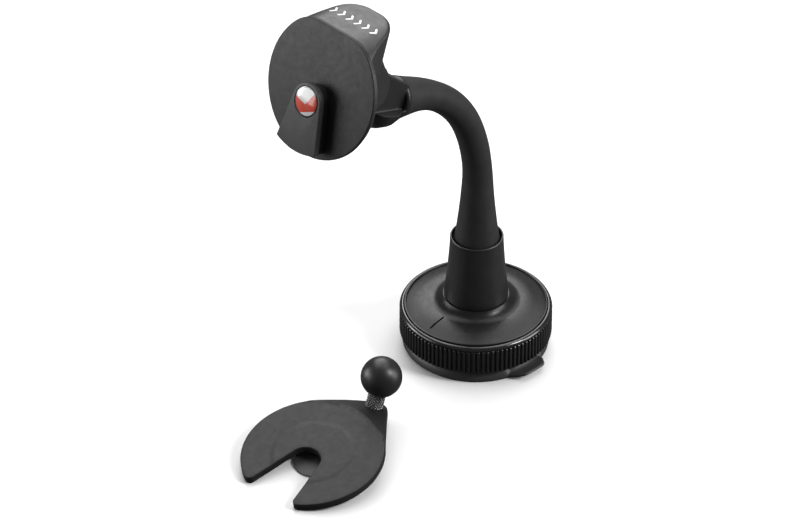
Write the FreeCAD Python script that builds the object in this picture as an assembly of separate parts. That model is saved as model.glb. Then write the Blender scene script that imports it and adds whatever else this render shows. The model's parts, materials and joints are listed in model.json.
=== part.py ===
import FreeCAD, Part

import math
import os

# Windscreen mount for a portable navigator, with its loose docking plate. Millimetres, +Z up.
# The origin is on the base's axis, on the surface that the suction cup sits on. The arm leans
# towards -Y and the head faces -Y. X is the head's tilt axis direction.

V = FreeCAD.Vector
RUN = 0.05          # radial clearance where one piece turns or slides in another
SLIP = 0.02         # radial clearance between fixed pieces

# Suction cup
CUP_R = 30.5
CUP_TOP = 4.7
CUP_SEAL_R = 24.5
CUP_CAVITY = 3.2
CUP_BOSS_R = 8.6
CUP_BOSS_TOP = 7.6
TAB_AZIMUTH = -1.0
TAB_REACH = 35.4
TAB_ROOT_HALF = 10.2
TAB_TIP_HALF = 6.3

# Lift stem and cam
LIFT = 2.4
LOCK_TURN = 90.0
STEM_DISC_R = 6.5
STEM_NECK_R = 3.5
STEM_R = 8.15
STEM_BOTTOM = 4.3
STEM_TOP = 16.5
PIN_R = 1.5
PIN_REACH = 15.6
PIN_Z = 11.5

# Base frame
HUB_R = 13.5
HUB_TOP = 21.4
FLANGE_R = 27.6
FLANGE_BOTTOM = 4.8
FLANGE_TOP = 6.4
SCREW_CIRCLE_R = 10.9
BASE_SCREW_R = 1.5
BASE_SCREW_HEAD_R = 2.1
BASE_SCREW_COUNT = 3

# Lock ring
RING_R = 31.7
RIB_COUNT = 100
RIB_DEPTH = 0.65
RIB_CREST = 0.56    # share of the pitch that is rib
RING_BOTTOM = 4.9
RIB_TOP = 16.3
RING_TOP = 18.2
RING_INNER_R = 28.6
SLEEVE_INNER_R = 13.7
SLEEVE_R = 16.2
SLEEVE_TOP = 17.0
WEB_BOTTOM = 6.5
WEB_TOP = 8.3

# Cover
COVER_R = 29.7
COVER_EDGE = 18.2
COVER_TOP = 23.4
COVER_HOLE_R = 9.4
MARK_FROM = 18.7
MARK_TO = 27.8
MARK_WIDTH = 0.8
MARK_DEPTH = 0.45

# Collar
COLLAR_FOOT_R = 13.3
COLLAR_WAIST_R = 11.85
COLLAR_TOP_R = 11.0
COLLAR_BOTTOM = 23.45
COLLAR_TOP = 52.9
COLLAR_BORE_R = 10.05
COLLAR_FLOOR = 30.0
COLLAR_FLOOR_TOP = 33.0
COLLAR_CAVITY_R = 8.8

# Swivel: the arm's spigot in the collar
SPIGOT_R = 8.0
STUB_R = 5.0
BUSH_TOP = 48.4
ARM_FOOT = 48.6
SWIVEL_SCREW_R = 1.9

# Arm: upright, then a wide bend, then a tighter one, then straight
BEND_START = 79.6
WIDE_BEND_R = 78.5
WIDE_BEND_ANGLE = 22.0
TIGHT_BEND_R = 55.7
HEAD_RISE_ANGLE = 19.0      # the arm's last run and the head's axis rise this much
STRAIGHT = 8.1
ARM_FOOT_R = 9.8
ARM_WAIST_R = 6.05
ARM_END_R = 8.7
FOOT_FLARE = 42.0           # length of the flare at each end
END_FLARE = 26.0
SLEEVE_THICK = 1.3
ARM_SECTIONS = 26

# Head, in its own frame: +x out of the face, y sideways, z up along the face, origin at the
# centre of the face
FACE_BEYOND_ARM = 45.4
FACE_ABOVE_AXIS = 9.0
FACE_R = 28.24
FACE_TOP = 24.6
SHOULDER_ANGLE = 45.0
FACE_RIM = 1.4
FACE_THICK = 3.0
FACE_BACK_R = 24.0
LUG_CENTRE = -5.24
LUG_R = 7.4
LUG_NECK_R = 6.4
LUG_HALF_ANGLE = 10.0
LUG_NECK_LENGTH = 3.9
LUG_HEIGHT = 6.2
LUG_BOTTOM_R = 26.1
BADGE_R = 6.0
BADGE_DEPTH = 1.2
BADGE_DOME = 0.6
HOOD_SLOPE = 17.0
HOOD_DEPTH = 22.0
HOOD_HALF = 20.5
DISH_R = 27.6
PIVOT_X = -19.5
PIVOT_Z = 1.5
TONGUE_HALF = 6.0
TONGUE_R = 7.0
EAR_INNER = 6.9
EAR_OUTER = 11.8
TILT_R = 2.5
TILT_HEAD_R = 4.2
TILT_HEAD_THICK = 1.7
NUT_ACROSS = 7.0
NUT_THICK = 2.5
WASHER_R = 6.0
KNUCKLE_R = 11.1
KNUCKLE_STUB_R = 3.5
KNUCKLE_STUB = 11.0
HEAD_SCREW_CIRCLE_R = 21.6
HEAD_SCREW_ANGLES = (0.0, 180.0, -55.0, -125.0)
HEAD_SCREW_R = 1.1

# Docking plate, in its own frame: +x towards the notch's opening, z up, origin at the centre of
# the top face
PLATE_X = 14.5
PLATE_Y = -107.1
PLATE_AZIMUTH = 275.1
PLATE_TILT = 9.25
PLATE_R = 29.2
PLATE_THICK = 3.3
NOTCH_CENTRE = 5.4
NOTCH_R = 6.9
NOTCH_HALF_ANGLE = 11.5
TIP_ROUND = 2.2
STEP_R = 16.5
STEP_DEPTH = 0.12
TAB_FOLD_R = 27.6
TAB_SLOPE = 30.0
STUD_AT = 37.2
TAB_END_R = 5.2
BALL_R = 8.5
BALL_RISE = 13.3
STUD_NECK_R = 3.75
STUD_SHANK_R = 2.5
STUD_NUT_R = 4.5
CATCH_R = 8.8
CATCH_CENTRE = -0.8
CATCH_GAP = 2.35
CATCH_THICK = 0.5
CATCH_LAND = -2.8
CATCH_SCREW_X = -6.0
CATCH_SCREW_Y = 3.2

X_AXIS = V(1, 0, 0)
Y_AXIS = V(0, 1, 0)
Z_AXIS = V(0, 0, 1)
ORIGIN = V(0, 0, 0)


def in_xy(a, b):
    return V(a, b, 0)


def in_xz(a, b):
    return V(a, 0, b)


def in_yz(a, b):
    return V(0, a, b)


def loop(items, place):
    """A closed wire. (a, b) ends a straight edge; (am, bm, a, b) ends an arc through (am, bm)."""
    edges = []
    start = items[0][-2:]
    last = start
    for item in list(items[1:]) + [start]:
        end = item[-2:]
        if len(item) == 4:
            arc = Part.Arc(place(*last), place(*item[:2]), place(*end))
            edges.append(arc.toShape())
        elif end != last:
            edges.append(Part.LineSegment(place(*last), place(*end)).toShape())
        last = end
    return Part.Wire(edges)


def turned(items):
    """Revolves a (radius, height) outline about Z."""
    return Part.Face(loop(items, in_xz)).revolve(ORIGIN, Z_AXIS, 360)


def turned_about_x(items, z=0.0):
    """Revolves an (x, radius) outline about the line along X at height z."""
    solid = Part.Face(loop(items, in_xz)).revolve(ORIGIN, X_AXIS, 360)
    return solid.translated(V(0, 0, z))


def prism(items, place, start, depth):
    """Extrudes an outline from start by the vector depth."""
    return Part.Face(loop(items, place)).translated(start).extrude(depth)


def rod(radius, start, end):
    along = end - start
    return Part.makeCylinder(radius, along.Length, start, along)


def block(low, high):
    size = high - low
    return Part.makeBox(size.x, size.y, size.z, low)


def ring(inner, outer, bottom, top):
    tube = Part.makeCylinder(outer, top - bottom, V(0, 0, bottom))
    return tube.cut(Part.makeCylinder(inner, top - bottom, V(0, 0, bottom)))


def on_circle(radius, angle, z=0.0):
    turn = math.radians(angle)
    return V(radius * math.cos(turn), radius * math.sin(turn), z)


def cap_height(radius, rise, at):
    """Height of a round cap above its rim, at that distance from its middle."""
    ball = (radius ** 2 + rise ** 2) / (2 * rise)
    return math.sqrt(ball ** 2 - at ** 2) - (ball - rise)


def group(solids):
    return Part.makeCompound(solids)


def mirrored_pair(shape):
    return group([shape, shape.mirror(ORIGIN, Y_AXIS)])


# ---- places -------------------------------------------------------------------------------

def arm_to_row(shape):
    """From the arm's frame, which leans towards +x, to the row's, where it leans towards -Y."""
    shape.rotate(ORIGIN, Z_AXIS, -90)
    return shape


def arm_centre(distance):
    """Point and direction on the arm's centreline, that far along from the arm's foot."""
    upright = BEND_START - ARM_FOOT
    wide = math.radians(WIDE_BEND_ANGLE)
    end = math.radians(90 - HEAD_RISE_ANGLE)
    if distance <= upright:
        return V(0, 0, ARM_FOOT + distance), V(0, 0, 1)
    distance -= upright
    turn = min(distance / WIDE_BEND_R, wide)
    x = WIDE_BEND_R * (1 - math.cos(turn))
    z = BEND_START + WIDE_BEND_R * math.sin(turn)
    distance -= WIDE_BEND_R * turn
    if turn >= wide:
        turn = min(wide + distance / TIGHT_BEND_R, end)
        x += TIGHT_BEND_R * (math.cos(wide) - math.cos(turn))
        z += TIGHT_BEND_R * (math.sin(turn) - math.sin(wide))
        distance -= TIGHT_BEND_R * (turn - wide)
    along = V(math.sin(turn), 0, math.cos(turn))
    return V(x, 0, z) + along * max(distance, 0.0), along


def arm_length():
    wide = math.radians(WIDE_BEND_ANGLE)
    tight = math.radians(90 - HEAD_RISE_ANGLE) - wide
    return BEND_START - ARM_FOOT + WIDE_BEND_R * wide + TIGHT_BEND_R * tight + STRAIGHT


def arm_radius(distance):
    """The arm narrows from its foot to a waist and widens again to its end."""
    foot = max(0.0, 1 - distance / FOOT_FLARE)
    end = max(0.0, 1 - (arm_length() - distance) / END_FLARE)
    return (ARM_WAIST_R + (ARM_FOOT_R - ARM_WAIST_R) * foot ** 1.7
            + (ARM_END_R - ARM_WAIST_R) * end ** 1.85)


def head_origin():
    """Centre of the face, in the arm's frame."""
    end, along = arm_centre(arm_length())
    up = V(-along.z, 0, along.x)
    return end + along * FACE_BEYOND_ARM + up * FACE_ABOVE_AXIS


def head_to_row(shape):
    shape.rotate(ORIGIN, Y_AXIS, -HEAD_RISE_ANGLE)
    shape.translate(head_origin())
    return arm_to_row(shape)


def tip_reach():
    """How far the two rounded tips beside the notch reach along the plate."""
    spread = math.tan(math.radians(NOTCH_HALF_ANGLE))
    offset = notch_half_width(0) + TIP_ROUND * math.hypot(1, spread)
    reach = PLATE_R - TIP_ROUND
    square = 1 + spread ** 2
    return (math.sqrt(square * reach ** 2 - offset ** 2) - offset * spread) / square + TIP_ROUND


def plate_height():
    """Height of the top face's centre with the plate's two tips on the surface."""
    tilt = math.radians(PLATE_TILT)
    return tip_reach() * math.sin(tilt) + PLATE_THICK * math.cos(tilt)


def plate_to_row(shape):
    shape.rotate(ORIGIN, Y_AXIS, PLATE_TILT)
    shape.rotate(ORIGIN, Z_AXIS, PLATE_AZIMUTH)
    shape.translate(V(PLATE_X, PLATE_Y, plate_height()))
    return shape


# ---- base ---------------------------------------------------------------------------------

def suction_cup():
    half = CUP_SEAL_R / 2
    cup = turned([
        (0, CUP_CAVITY), (half, cap_height(CUP_SEAL_R, CUP_CAVITY, half), CUP_SEAL_R, 0),
        (CUP_R - 0.5, 0),
        (CUP_R - 0.146, 0.146, CUP_R, 0.5), (29.9, 3.0, 28.2, CUP_TOP),
        (CUP_BOSS_R + 0.9, CUP_TOP), (CUP_BOSS_R, CUP_TOP + 0.9), (CUP_BOSS_R, CUP_BOSS_TOP),
        (STEM_NECK_R + 0.3, CUP_BOSS_TOP), (STEM_NECK_R + 0.3, 6.1), (STEM_DISC_R + 0.3, 6.1),
        (STEM_DISC_R + 0.3, 4.2), (0, 4.2)])
    strip = prism([
        (24, 0.5), (31, 0.8, TAB_REACH + 1, 2.7), (TAB_REACH + 1, 4.1), (31, 2.2, 24, 2.0)],
        in_xz, V(0, -TAB_ROOT_HALF - 2, 0), V(0, 2 * TAB_ROOT_HALF + 4, 0))
    outline = prism([
        (24, -TAB_ROOT_HALF), (29, -TAB_ROOT_HALF + 0.2), (TAB_REACH - 1.6, -TAB_TIP_HALF - 0.4),
        (TAB_REACH - 0.4, -TAB_TIP_HALF - 0.1, TAB_REACH - 0.1, -TAB_TIP_HALF + 1.4),
        (TAB_REACH + 0.3, 0, TAB_REACH - 0.1, TAB_TIP_HALF - 1.4),
        (TAB_REACH - 0.4, TAB_TIP_HALF + 0.1, TAB_REACH - 1.6, TAB_TIP_HALF + 0.4),
        (29, TAB_ROOT_HALF - 0.2), (24, TAB_ROOT_HALF)], in_xy, ORIGIN, V(0, 0, 6))
    tab = strip.common(outline)
    tab.rotate(ORIGIN, Z_AXIS, TAB_AZIMUTH)
    inside = turned([(0, 0), (CUP_SEAL_R + 3, 0), (CUP_SEAL_R + 3, 5), (0, 5)])
    return cup.fuse(tab.cut(inside))


def screw_angles():
    return [90 + i * 360 / BASE_SCREW_COUNT for i in range(BASE_SCREW_COUNT)]


def base_frame():
    frame = turned([
        (9.6, FLANGE_BOTTOM), (FLANGE_R - 0.4, FLANGE_BOTTOM), (FLANGE_R, FLANGE_BOTTOM + 0.4),
        (FLANGE_R, FLANGE_TOP), (HUB_R, FLANGE_TOP), (HUB_R, HUB_TOP), (STEM_R + RUN, HUB_TOP),
        (STEM_R + RUN, 8.4), (9.6, 8.4)])
    half = PIN_R + RUN
    slot = block(V(-HUB_R - 2, -half, PIN_Z), V(HUB_R + 2, half, PIN_Z + LIFT))
    for z in (PIN_Z, PIN_Z + LIFT):
        slot = slot.fuse(rod(half, V(-HUB_R - 2, 0, z), V(HUB_R + 2, 0, z)))
    frame = frame.cut(slot)
    for angle in screw_angles():
        foot = on_circle(SCREW_CIRCLE_R, angle, FLANGE_BOTTOM - 1)
        hole = rod(BASE_SCREW_R + 0.2, foot, foot + V(0, 0, 30))
        head = rod(BASE_SCREW_HEAD_R + 0.2, foot, foot + V(0, 0, 3.2))
        frame = frame.cut(hole.fuse(head))
    return frame


def base_screws():
    screws = []
    for angle in screw_angles():
        seat = on_circle(SCREW_CIRCLE_R, angle, FLANGE_BOTTOM + 2.2)
        head = rod(BASE_SCREW_HEAD_R, seat - V(0, 0, 1.7), seat)
        shank = rod(BASE_SCREW_R, seat, seat + V(0, 0, 21.6))
        drive = block(seat + V(-1.3, -0.3, -2), seat + V(1.3, 0.3, -0.9))
        cross = block(seat + V(-0.3, -1.3, -2), seat + V(0.3, 1.3, -0.9))
        screws.append(head.fuse(shank).cut(drive.fuse(cross)))
    return group(screws)


def rib_outline():
    """The ribbed edge: a crest arc and a hollow arc for each rib."""
    pitch = 360 / RIB_COUNT
    crest = pitch * RIB_CREST
    edges = []
    for i in range(RIB_COUNT):
        start = i * pitch
        points = [on_circle(RING_R - 0.12, start), on_circle(RING_R, start + crest / 2),
                  on_circle(RING_R - 0.12, start + crest),
                  on_circle(RING_R - RIB_DEPTH, start + (crest + pitch) / 2),
                  on_circle(RING_R - 0.12, start + pitch)]
        edges.append(Part.Arc(*points[:3]).toShape())
        edges.append(Part.Arc(*points[2:]).toShape())
    return Part.Wire(edges)


def cam_slots():
    """Two slots that climb by the lift in a quarter turn, each starting at the pin."""
    half = PIN_R + RUN
    steps = 6
    step = LOCK_TURN / steps
    middle_r = (SLEEVE_INNER_R + SLEEVE_R) / 2
    climb = math.degrees(math.atan(LIFT / (middle_r * math.radians(LOCK_TURN))))
    run = middle_r * math.radians(step) / 2 + 0.3
    slots = []
    for side in (0, 180):
        for i in range(steps):
            box = block(V(SLEEVE_INNER_R - 1, -run, -half), V(SLEEVE_R + 1, run, half))
            box.rotate(ORIGIN, X_AXIS, climb)
            box.translate(V(0, 0, PIN_Z + LIFT * (i + 0.5) / steps))
            box.rotate(ORIGIN, Z_AXIS, side + (i + 0.5) * step)
            slots.append(box)
        for angle, z in ((0, PIN_Z), (LOCK_TURN, PIN_Z + LIFT)):
            slots.append(rod(half, on_circle(SLEEVE_INNER_R - 1, side + angle, z),
                             on_circle(SLEEVE_R + 1, side + angle, z)))
    return slots


def lock_ring():
    root = RING_R - RIB_DEPTH
    body = turned([
        (SLEEVE_INNER_R, WEB_BOTTOM), (RING_INNER_R, WEB_BOTTOM), (RING_INNER_R, RING_BOTTOM),
        (root - 0.3, RING_BOTTOM), (root, RING_BOTTOM + 0.3), (root, RIB_TOP - 0.1),
        (RING_R, RIB_TOP + 0.3), (RING_R - 0.25, RING_TOP - 0.75, RING_R - 1.3, RING_TOP),
        (COVER_R + 0.3, RING_TOP), (COVER_R + 0.3, 16.0), (RING_INNER_R, 15.4),
        (RING_INNER_R, WEB_TOP), (SLEEVE_R, WEB_TOP), (SLEEVE_R, SLEEVE_TOP),
        (SLEEVE_INNER_R, SLEEVE_TOP)])
    ribs = Part.Face(rib_outline()).translated(V(0, 0, RING_BOTTOM + 0.3))
    ribs = ribs.extrude(V(0, 0, RIB_TOP - RING_BOTTOM - 0.1))
    core = Part.makeCylinder(root - 0.8, 30)
    return body.fuse(ribs.cut(core)).cut(cam_slots())


def lift_stem():
    stem = turned([
        (0, STEM_BOTTOM), (STEM_DISC_R, STEM_BOTTOM), (STEM_DISC_R, 5.9), (STEM_NECK_R, 5.9),
        (STEM_NECK_R, 8.7), (STEM_R, 8.7), (STEM_R, STEM_TOP - 0.6), (STEM_R - 0.6, STEM_TOP),
        (4.5, STEM_TOP), (4.5, 14.0), (0, 14.0)])
    return stem.cut(rod(PIN_R + SLIP, V(-20, 0, PIN_Z), V(20, 0, PIN_Z)))


def cam_pin():
    pin = rod(PIN_R, V(-PIN_REACH, 0, PIN_Z), V(PIN_REACH, 0, PIN_Z))
    ends = [edge for edge in pin.Edges if edge.BoundBox.XLength < 0.1]
    return pin.makeChamfer(0.3, ends)


def cover_height(radius):
    """Height of the cover's nearly flat stretch."""
    return 18.9 + (28.8 - radius) * (20.5 - 18.9) / (28.8 - 19.5)


def base_cover():
    cover = turned([
        (COVER_R, 16.3), (COVER_R, COVER_EDGE), (COVER_R - 0.25, COVER_EDGE + 0.5, 28.8, 18.9),
        (19.5, 20.5), (15.6, 21.5, 13.7, COVER_TOP), (COVER_HOLE_R, COVER_TOP),
        (COVER_HOLE_R, HUB_TOP + 0.05), (13.6, HUB_TOP + 0.05), (15.0, 19.8), (19.5, 18.6),
        (28.0, 17.2), (28.0, 16.3)])
    mark = prism([
        (MARK_FROM, cover_height(MARK_FROM) - MARK_DEPTH),
        (MARK_TO, cover_height(MARK_TO) - MARK_DEPTH), (MARK_TO, 25), (MARK_FROM, 25)],
        in_xz, V(0, -MARK_WIDTH / 2, 0), V(0, MARK_WIDTH, 0))
    mark.rotate(ORIGIN, Z_AXIS, -90)
    cover = cover.cut(mark)
    for angle in screw_angles():
        foot = on_circle(SCREW_CIRCLE_R, angle, 15)
        cover = cover.cut(rod(BASE_SCREW_R + 0.2, foot, foot + V(0, 0, 15)))
    return cover


def arm_collar():
    collar = turned([
        (COLLAR_FOOT_R - 0.5, COLLAR_BOTTOM), (COLLAR_FOOT_R - 0.1, COLLAR_BOTTOM + 0.15,
        COLLAR_FOOT_R, COLLAR_BOTTOM + 0.6), (COLLAR_WAIST_R, 39.0, COLLAR_TOP_R, 52.2),
        (COLLAR_TOP_R - 0.15, 52.7, COLLAR_TOP_R - 0.5, COLLAR_TOP), (10.35, COLLAR_TOP),
        (10.3, 49.0), (COLLAR_BORE_R, 49.0), (COLLAR_BORE_R, COLLAR_FLOOR_TOP),
        (STUB_R + RUN, COLLAR_FLOOR_TOP), (STUB_R + RUN, COLLAR_FLOOR),
        (COLLAR_CAVITY_R, COLLAR_FLOOR), (COLLAR_CAVITY_R, COLLAR_BOTTOM)])
    for angle in screw_angles():
        foot = on_circle(SCREW_CIRCLE_R, angle, COLLAR_BOTTOM - 1)
        collar = collar.cut(rod(BASE_SCREW_R + SLIP, foot, foot + V(0, 0, 6.4)))
    return collar


def swivel_bush():
    return turned([
        (SPIGOT_R + RUN + 0.3, COLLAR_FLOOR_TOP), (COLLAR_BORE_R - SLIP, COLLAR_FLOOR_TOP),
        (COLLAR_BORE_R - SLIP, BUSH_TOP - 0.3), (COLLAR_BORE_R - 0.3, BUSH_TOP),
        (SPIGOT_R + RUN + 0.3, BUSH_TOP), (SPIGOT_R + RUN, BUSH_TOP - 0.3),
        (SPIGOT_R + RUN, COLLAR_FLOOR_TOP + 0.3)])


# ---- arm ----------------------------------------------------------------------------------

def arm_loft(inset):
    """The arm's round shape, that far inside its surface."""
    length = arm_length()
    wires = []
    for i in range(ARM_SECTIONS + 1):
        distance = length * i / ARM_SECTIONS
        centre, along = arm_centre(distance)
        circle = Part.Circle(centre, along, arm_radius(distance) - inset)
        wires.append(Part.Wire([circle.toShape()]))
    return Part.makeLoft(wires, True, False)


def arm_sleeve():
    return arm_to_row(arm_loft(0).cut(arm_loft(SLEEVE_THICK)))


def arm_core():
    end, along = arm_centre(arm_length())
    core = arm_loft(SLEEVE_THICK + SLIP)
    spigot = turned([
        (0, COLLAR_FLOOR - RUN), (STUB_R, COLLAR_FLOOR - RUN), (STUB_R, COLLAR_FLOOR_TOP + 0.1),
        (SPIGOT_R - 0.4, COLLAR_FLOOR_TOP + 0.1), (SPIGOT_R, COLLAR_FLOOR_TOP + 0.5),
        (SPIGOT_R, ARM_FOOT + 0.5), (0, ARM_FOOT + 0.5)])
    core = core.fuse(spigot)
    core = core.cut(rod(SWIVEL_SCREW_R + SLIP, V(0, 0, 20), V(0, 0, 43.5)))
    socket = rod(KNUCKLE_STUB_R + SLIP, end + along, end - along * (KNUCKLE_STUB + 0.4))
    return arm_to_row(core.cut(socket))


def swivel_washer():
    return ring(SWIVEL_SCREW_R + 0.2, 8.0, COLLAR_FLOOR - RUN - 1.2, COLLAR_FLOOR - RUN)


def swivel_screw():
    seat = COLLAR_FLOOR - RUN - 1.2
    screw = turned([
        (0, seat - 2.5), (3.3, seat - 2.5), (4.0, seat - 1.8), (4.0, seat),
        (SWIVEL_SCREW_R, seat), (SWIVEL_SCREW_R, 42.4), (SWIVEL_SCREW_R - 0.8, 43.2), (0, 43.2)])
    drive = block(V(-2.4, -0.4, seat - 3), V(2.4, 0.4, seat - 1.2))
    cross = block(V(-0.4, -2.4, seat - 3), V(0.4, 2.4, seat - 1.2))
    return screw.cut(drive.fuse(cross))


def tangent_point(point, centre, radius, side):
    """Where a line from the point touches the circle, on the side given as +1 or -1."""
    across = centre[0] - point[0], centre[1] - point[1]
    distance = math.hypot(*across)
    angle = math.atan2(across[1], across[0]) + side * math.asin(radius / distance)
    reach = math.sqrt(distance ** 2 - radius ** 2)
    return point[0] + reach * math.cos(angle), point[1] + reach * math.sin(angle)


def tilt_knuckle():
    """Tongue between the head's ears, rounded into the arm's end below."""
    axis_z = -FACE_ABOVE_AXIS
    end_x = -FACE_BEYOND_ARM
    pivot = (PIVOT_X, PIVOT_Z)
    top_back = (end_x, axis_z + 7.6)
    low_front = (end_x + 14.4, axis_z - 9.0)
    top_touch = tangent_point(top_back, pivot, TONGUE_R, 1)
    low_touch = tangent_point(low_front, pivot, TONGUE_R, -1)
    nose = (PIVOT_X + TONGUE_R * math.cos(0.35), PIVOT_Z + TONGUE_R * math.sin(0.35))
    tongue = prism([
        top_back, top_touch, nose + low_touch, low_front, (end_x + 5, axis_z - 9.0),
        (end_x, axis_z - 6.2)], in_xz, V(0, -TONGUE_HALF, 0), V(0, 2 * TONGUE_HALF, 0))
    bulge = turned_about_x([
        (end_x, 0), (end_x, ARM_END_R), (end_x + 4.2, ARM_END_R),
        (end_x + 6.0, KNUCKLE_R - 0.7, end_x + 8.8, KNUCKLE_R), (end_x + 12.4, KNUCKLE_R),
        (end_x + 16.2, 8.5, end_x + 17.2, 5), (end_x + 17.2, 0)],
        axis_z)
    bulge = bulge.common(block(V(-60, -12, -40), V(0, 12, axis_z - 2.4)))
    collar = turned_about_x([
        (end_x, 0), (end_x, ARM_END_R), (end_x + 0.9, ARM_END_R), (end_x + 1.7, 8.0),
        (end_x + 1.7, 0)], axis_z)
    stub = rod(KNUCKLE_STUB_R, V(end_x + 0.5, 0, axis_z), V(end_x - KNUCKLE_STUB, 0, axis_z))
    bore = rod(TILT_R + RUN, V(PIVOT_X, -20, PIVOT_Z), V(PIVOT_X, 20, PIVOT_Z))
    knuckle = tongue.fuse([bulge, collar, stub]).cut(bore)
    return head_to_row(knuckle)


# ---- head ---------------------------------------------------------------------------------

def face_outline(radius, top):
    """A circle with a flat top and a soft shoulder each side of it."""
    angle = math.radians(SHOULDER_ANGLE)
    bend = (top - radius * math.sin(angle)) / (1 - math.sin(angle))
    inner = (radius - bend) * math.cos(angle)
    middle = math.radians((SHOULDER_ANGLE + 90) / 2)
    corner = (radius * math.cos(angle), radius * math.sin(angle))
    shoulder = (inner + bend * math.cos(middle), top - bend + bend * math.sin(middle))
    return [(-inner, top), (inner, top), shoulder + corner,
            (0, -radius, -corner[0], corner[1]), (-shoulder[0], shoulder[1], -inner, top)]


def lug_outline(radius, bottom_radius):
    """A wedge with a round top: its sides spread by the lug's half angle."""
    angle = math.radians(LUG_HALF_ANGLE)
    side = (radius * math.cos(angle), LUG_CENTRE + radius * math.sin(angle))
    slope = math.tan(angle)
    # the side meets the bottom arc where y = side_y + (side_z - z) * slope
    a = 1 + slope ** 2
    b = -2 * slope * (side[0] + side[1] * slope)
    c = (side[0] + side[1] * slope) ** 2 - bottom_radius ** 2
    low = (-b - math.sqrt(b * b - 4 * a * c)) / (2 * a)
    foot = (side[0] + (side[1] - low) * slope, low)
    return [(-side[0], side[1]), (0, LUG_CENTRE + radius) + side, foot,
            (0, -bottom_radius, -foot[0], foot[1])]


def face_plate():
    rim = prism(face_outline(FACE_R, FACE_TOP), in_yz, V(-FACE_RIM, 0, 0), V(FACE_RIM, 0, 0))
    front = [edge for edge in rim.Edges if edge.BoundBox.XMin > -0.01]
    rim = rim.makeFillet(0.45, front)
    back = turned_about_x([
        (-FACE_THICK, 0), (-FACE_THICK, FACE_BACK_R - 0.3), (-FACE_THICK + 0.3, FACE_BACK_R),
        (-FACE_RIM, FACE_BACK_R), (-FACE_RIM, 0)])
    back = back.common(block(V(-5, -30, -30), V(0, 30, FACE_TOP - 3.4)))
    neck = prism(lug_outline(LUG_NECK_R, LUG_BOTTOM_R - 0.8), in_yz, V(-0.5, 0, 0),
                 V(LUG_NECK_LENGTH + 1, 0, 0))
    flange = prism(lug_outline(LUG_R, LUG_BOTTOM_R), in_yz, V(LUG_NECK_LENGTH, 0, 0),
                   V(LUG_HEIGHT - LUG_NECK_LENGTH, 0, 0))
    front = [edge for edge in flange.Edges if edge.BoundBox.XMin > LUG_HEIGHT - 0.01]
    flange = flange.makeChamfer(0.35, front)
    recess = rod(BADGE_R + 0.1, V(LUG_HEIGHT - BADGE_DEPTH, 0, LUG_CENTRE),
                 V(LUG_HEIGHT + 1, 0, LUG_CENTRE))
    plate = rim.fuse([back, neck, flange]).cut(recess)
    for angle in HEAD_SCREW_ANGLES:
        at = on_circle(HEAD_SCREW_CIRCLE_R, angle)
        plate = plate.cut(rod(HEAD_SCREW_R + SLIP, V(-5, at.x, at.y), V(-0.9, at.x, at.y)))
    return head_to_row(plate)


def badge():
    base = LUG_HEIGHT - BADGE_DEPTH
    rise = cap_height(BADGE_R, BADGE_DOME, BADGE_R / 2)
    piece = turned_about_x([
        (base, 0), (base, BADGE_R), (LUG_HEIGHT, BADGE_R),
        (LUG_HEIGHT + rise, BADGE_R / 2, LUG_HEIGHT + BADGE_DOME, 0)], LUG_CENTRE)
    return head_to_row(piece)


def hood_plan(inset):
    """The hood seen from above: wide at the face, narrow and round at the back."""
    side = HOOD_HALF - inset
    back = -HOOD_DEPTH + inset
    return [
        (-1.5, side), (-7.5, side - 3.2, -13, side - 5.5), (back + 3.0, side - 9.7, back, 3.5),
        (back, -3.5), (back + 3.0, 9.7 - side, -13, 5.5 - side), (-7.5, 3.2 - side, -1.5, -side)]


def hood_shell(inset, low):
    """The hood's outer shape, or its hollow when inset is more than 0."""
    rise = math.tan(math.radians(HOOD_SLOPE))
    outline = face_outline(FACE_R - 0.3 - inset, FACE_TOP - 0.25 - inset)
    wires = [loop(outline, in_yz).translated(V(-x, 0, rise * (x - 1.5))) for x in (1.5, 26.0)]
    cone = Part.makeLoft(wires, True, True)
    plan = prism(hood_plan(inset), in_xy, V(0, 0, low), V(0, 0, 40))
    return plan.common(cone)


def ear_outline():
    return [(-9, 13), (-16.2, 17.6), (-21.0, 11.4), (-25.4, 5.6, -26.3, -1.0),
            (-24.8, -4.7, -21.1, -6.2), (-9, -6.2)]


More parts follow.
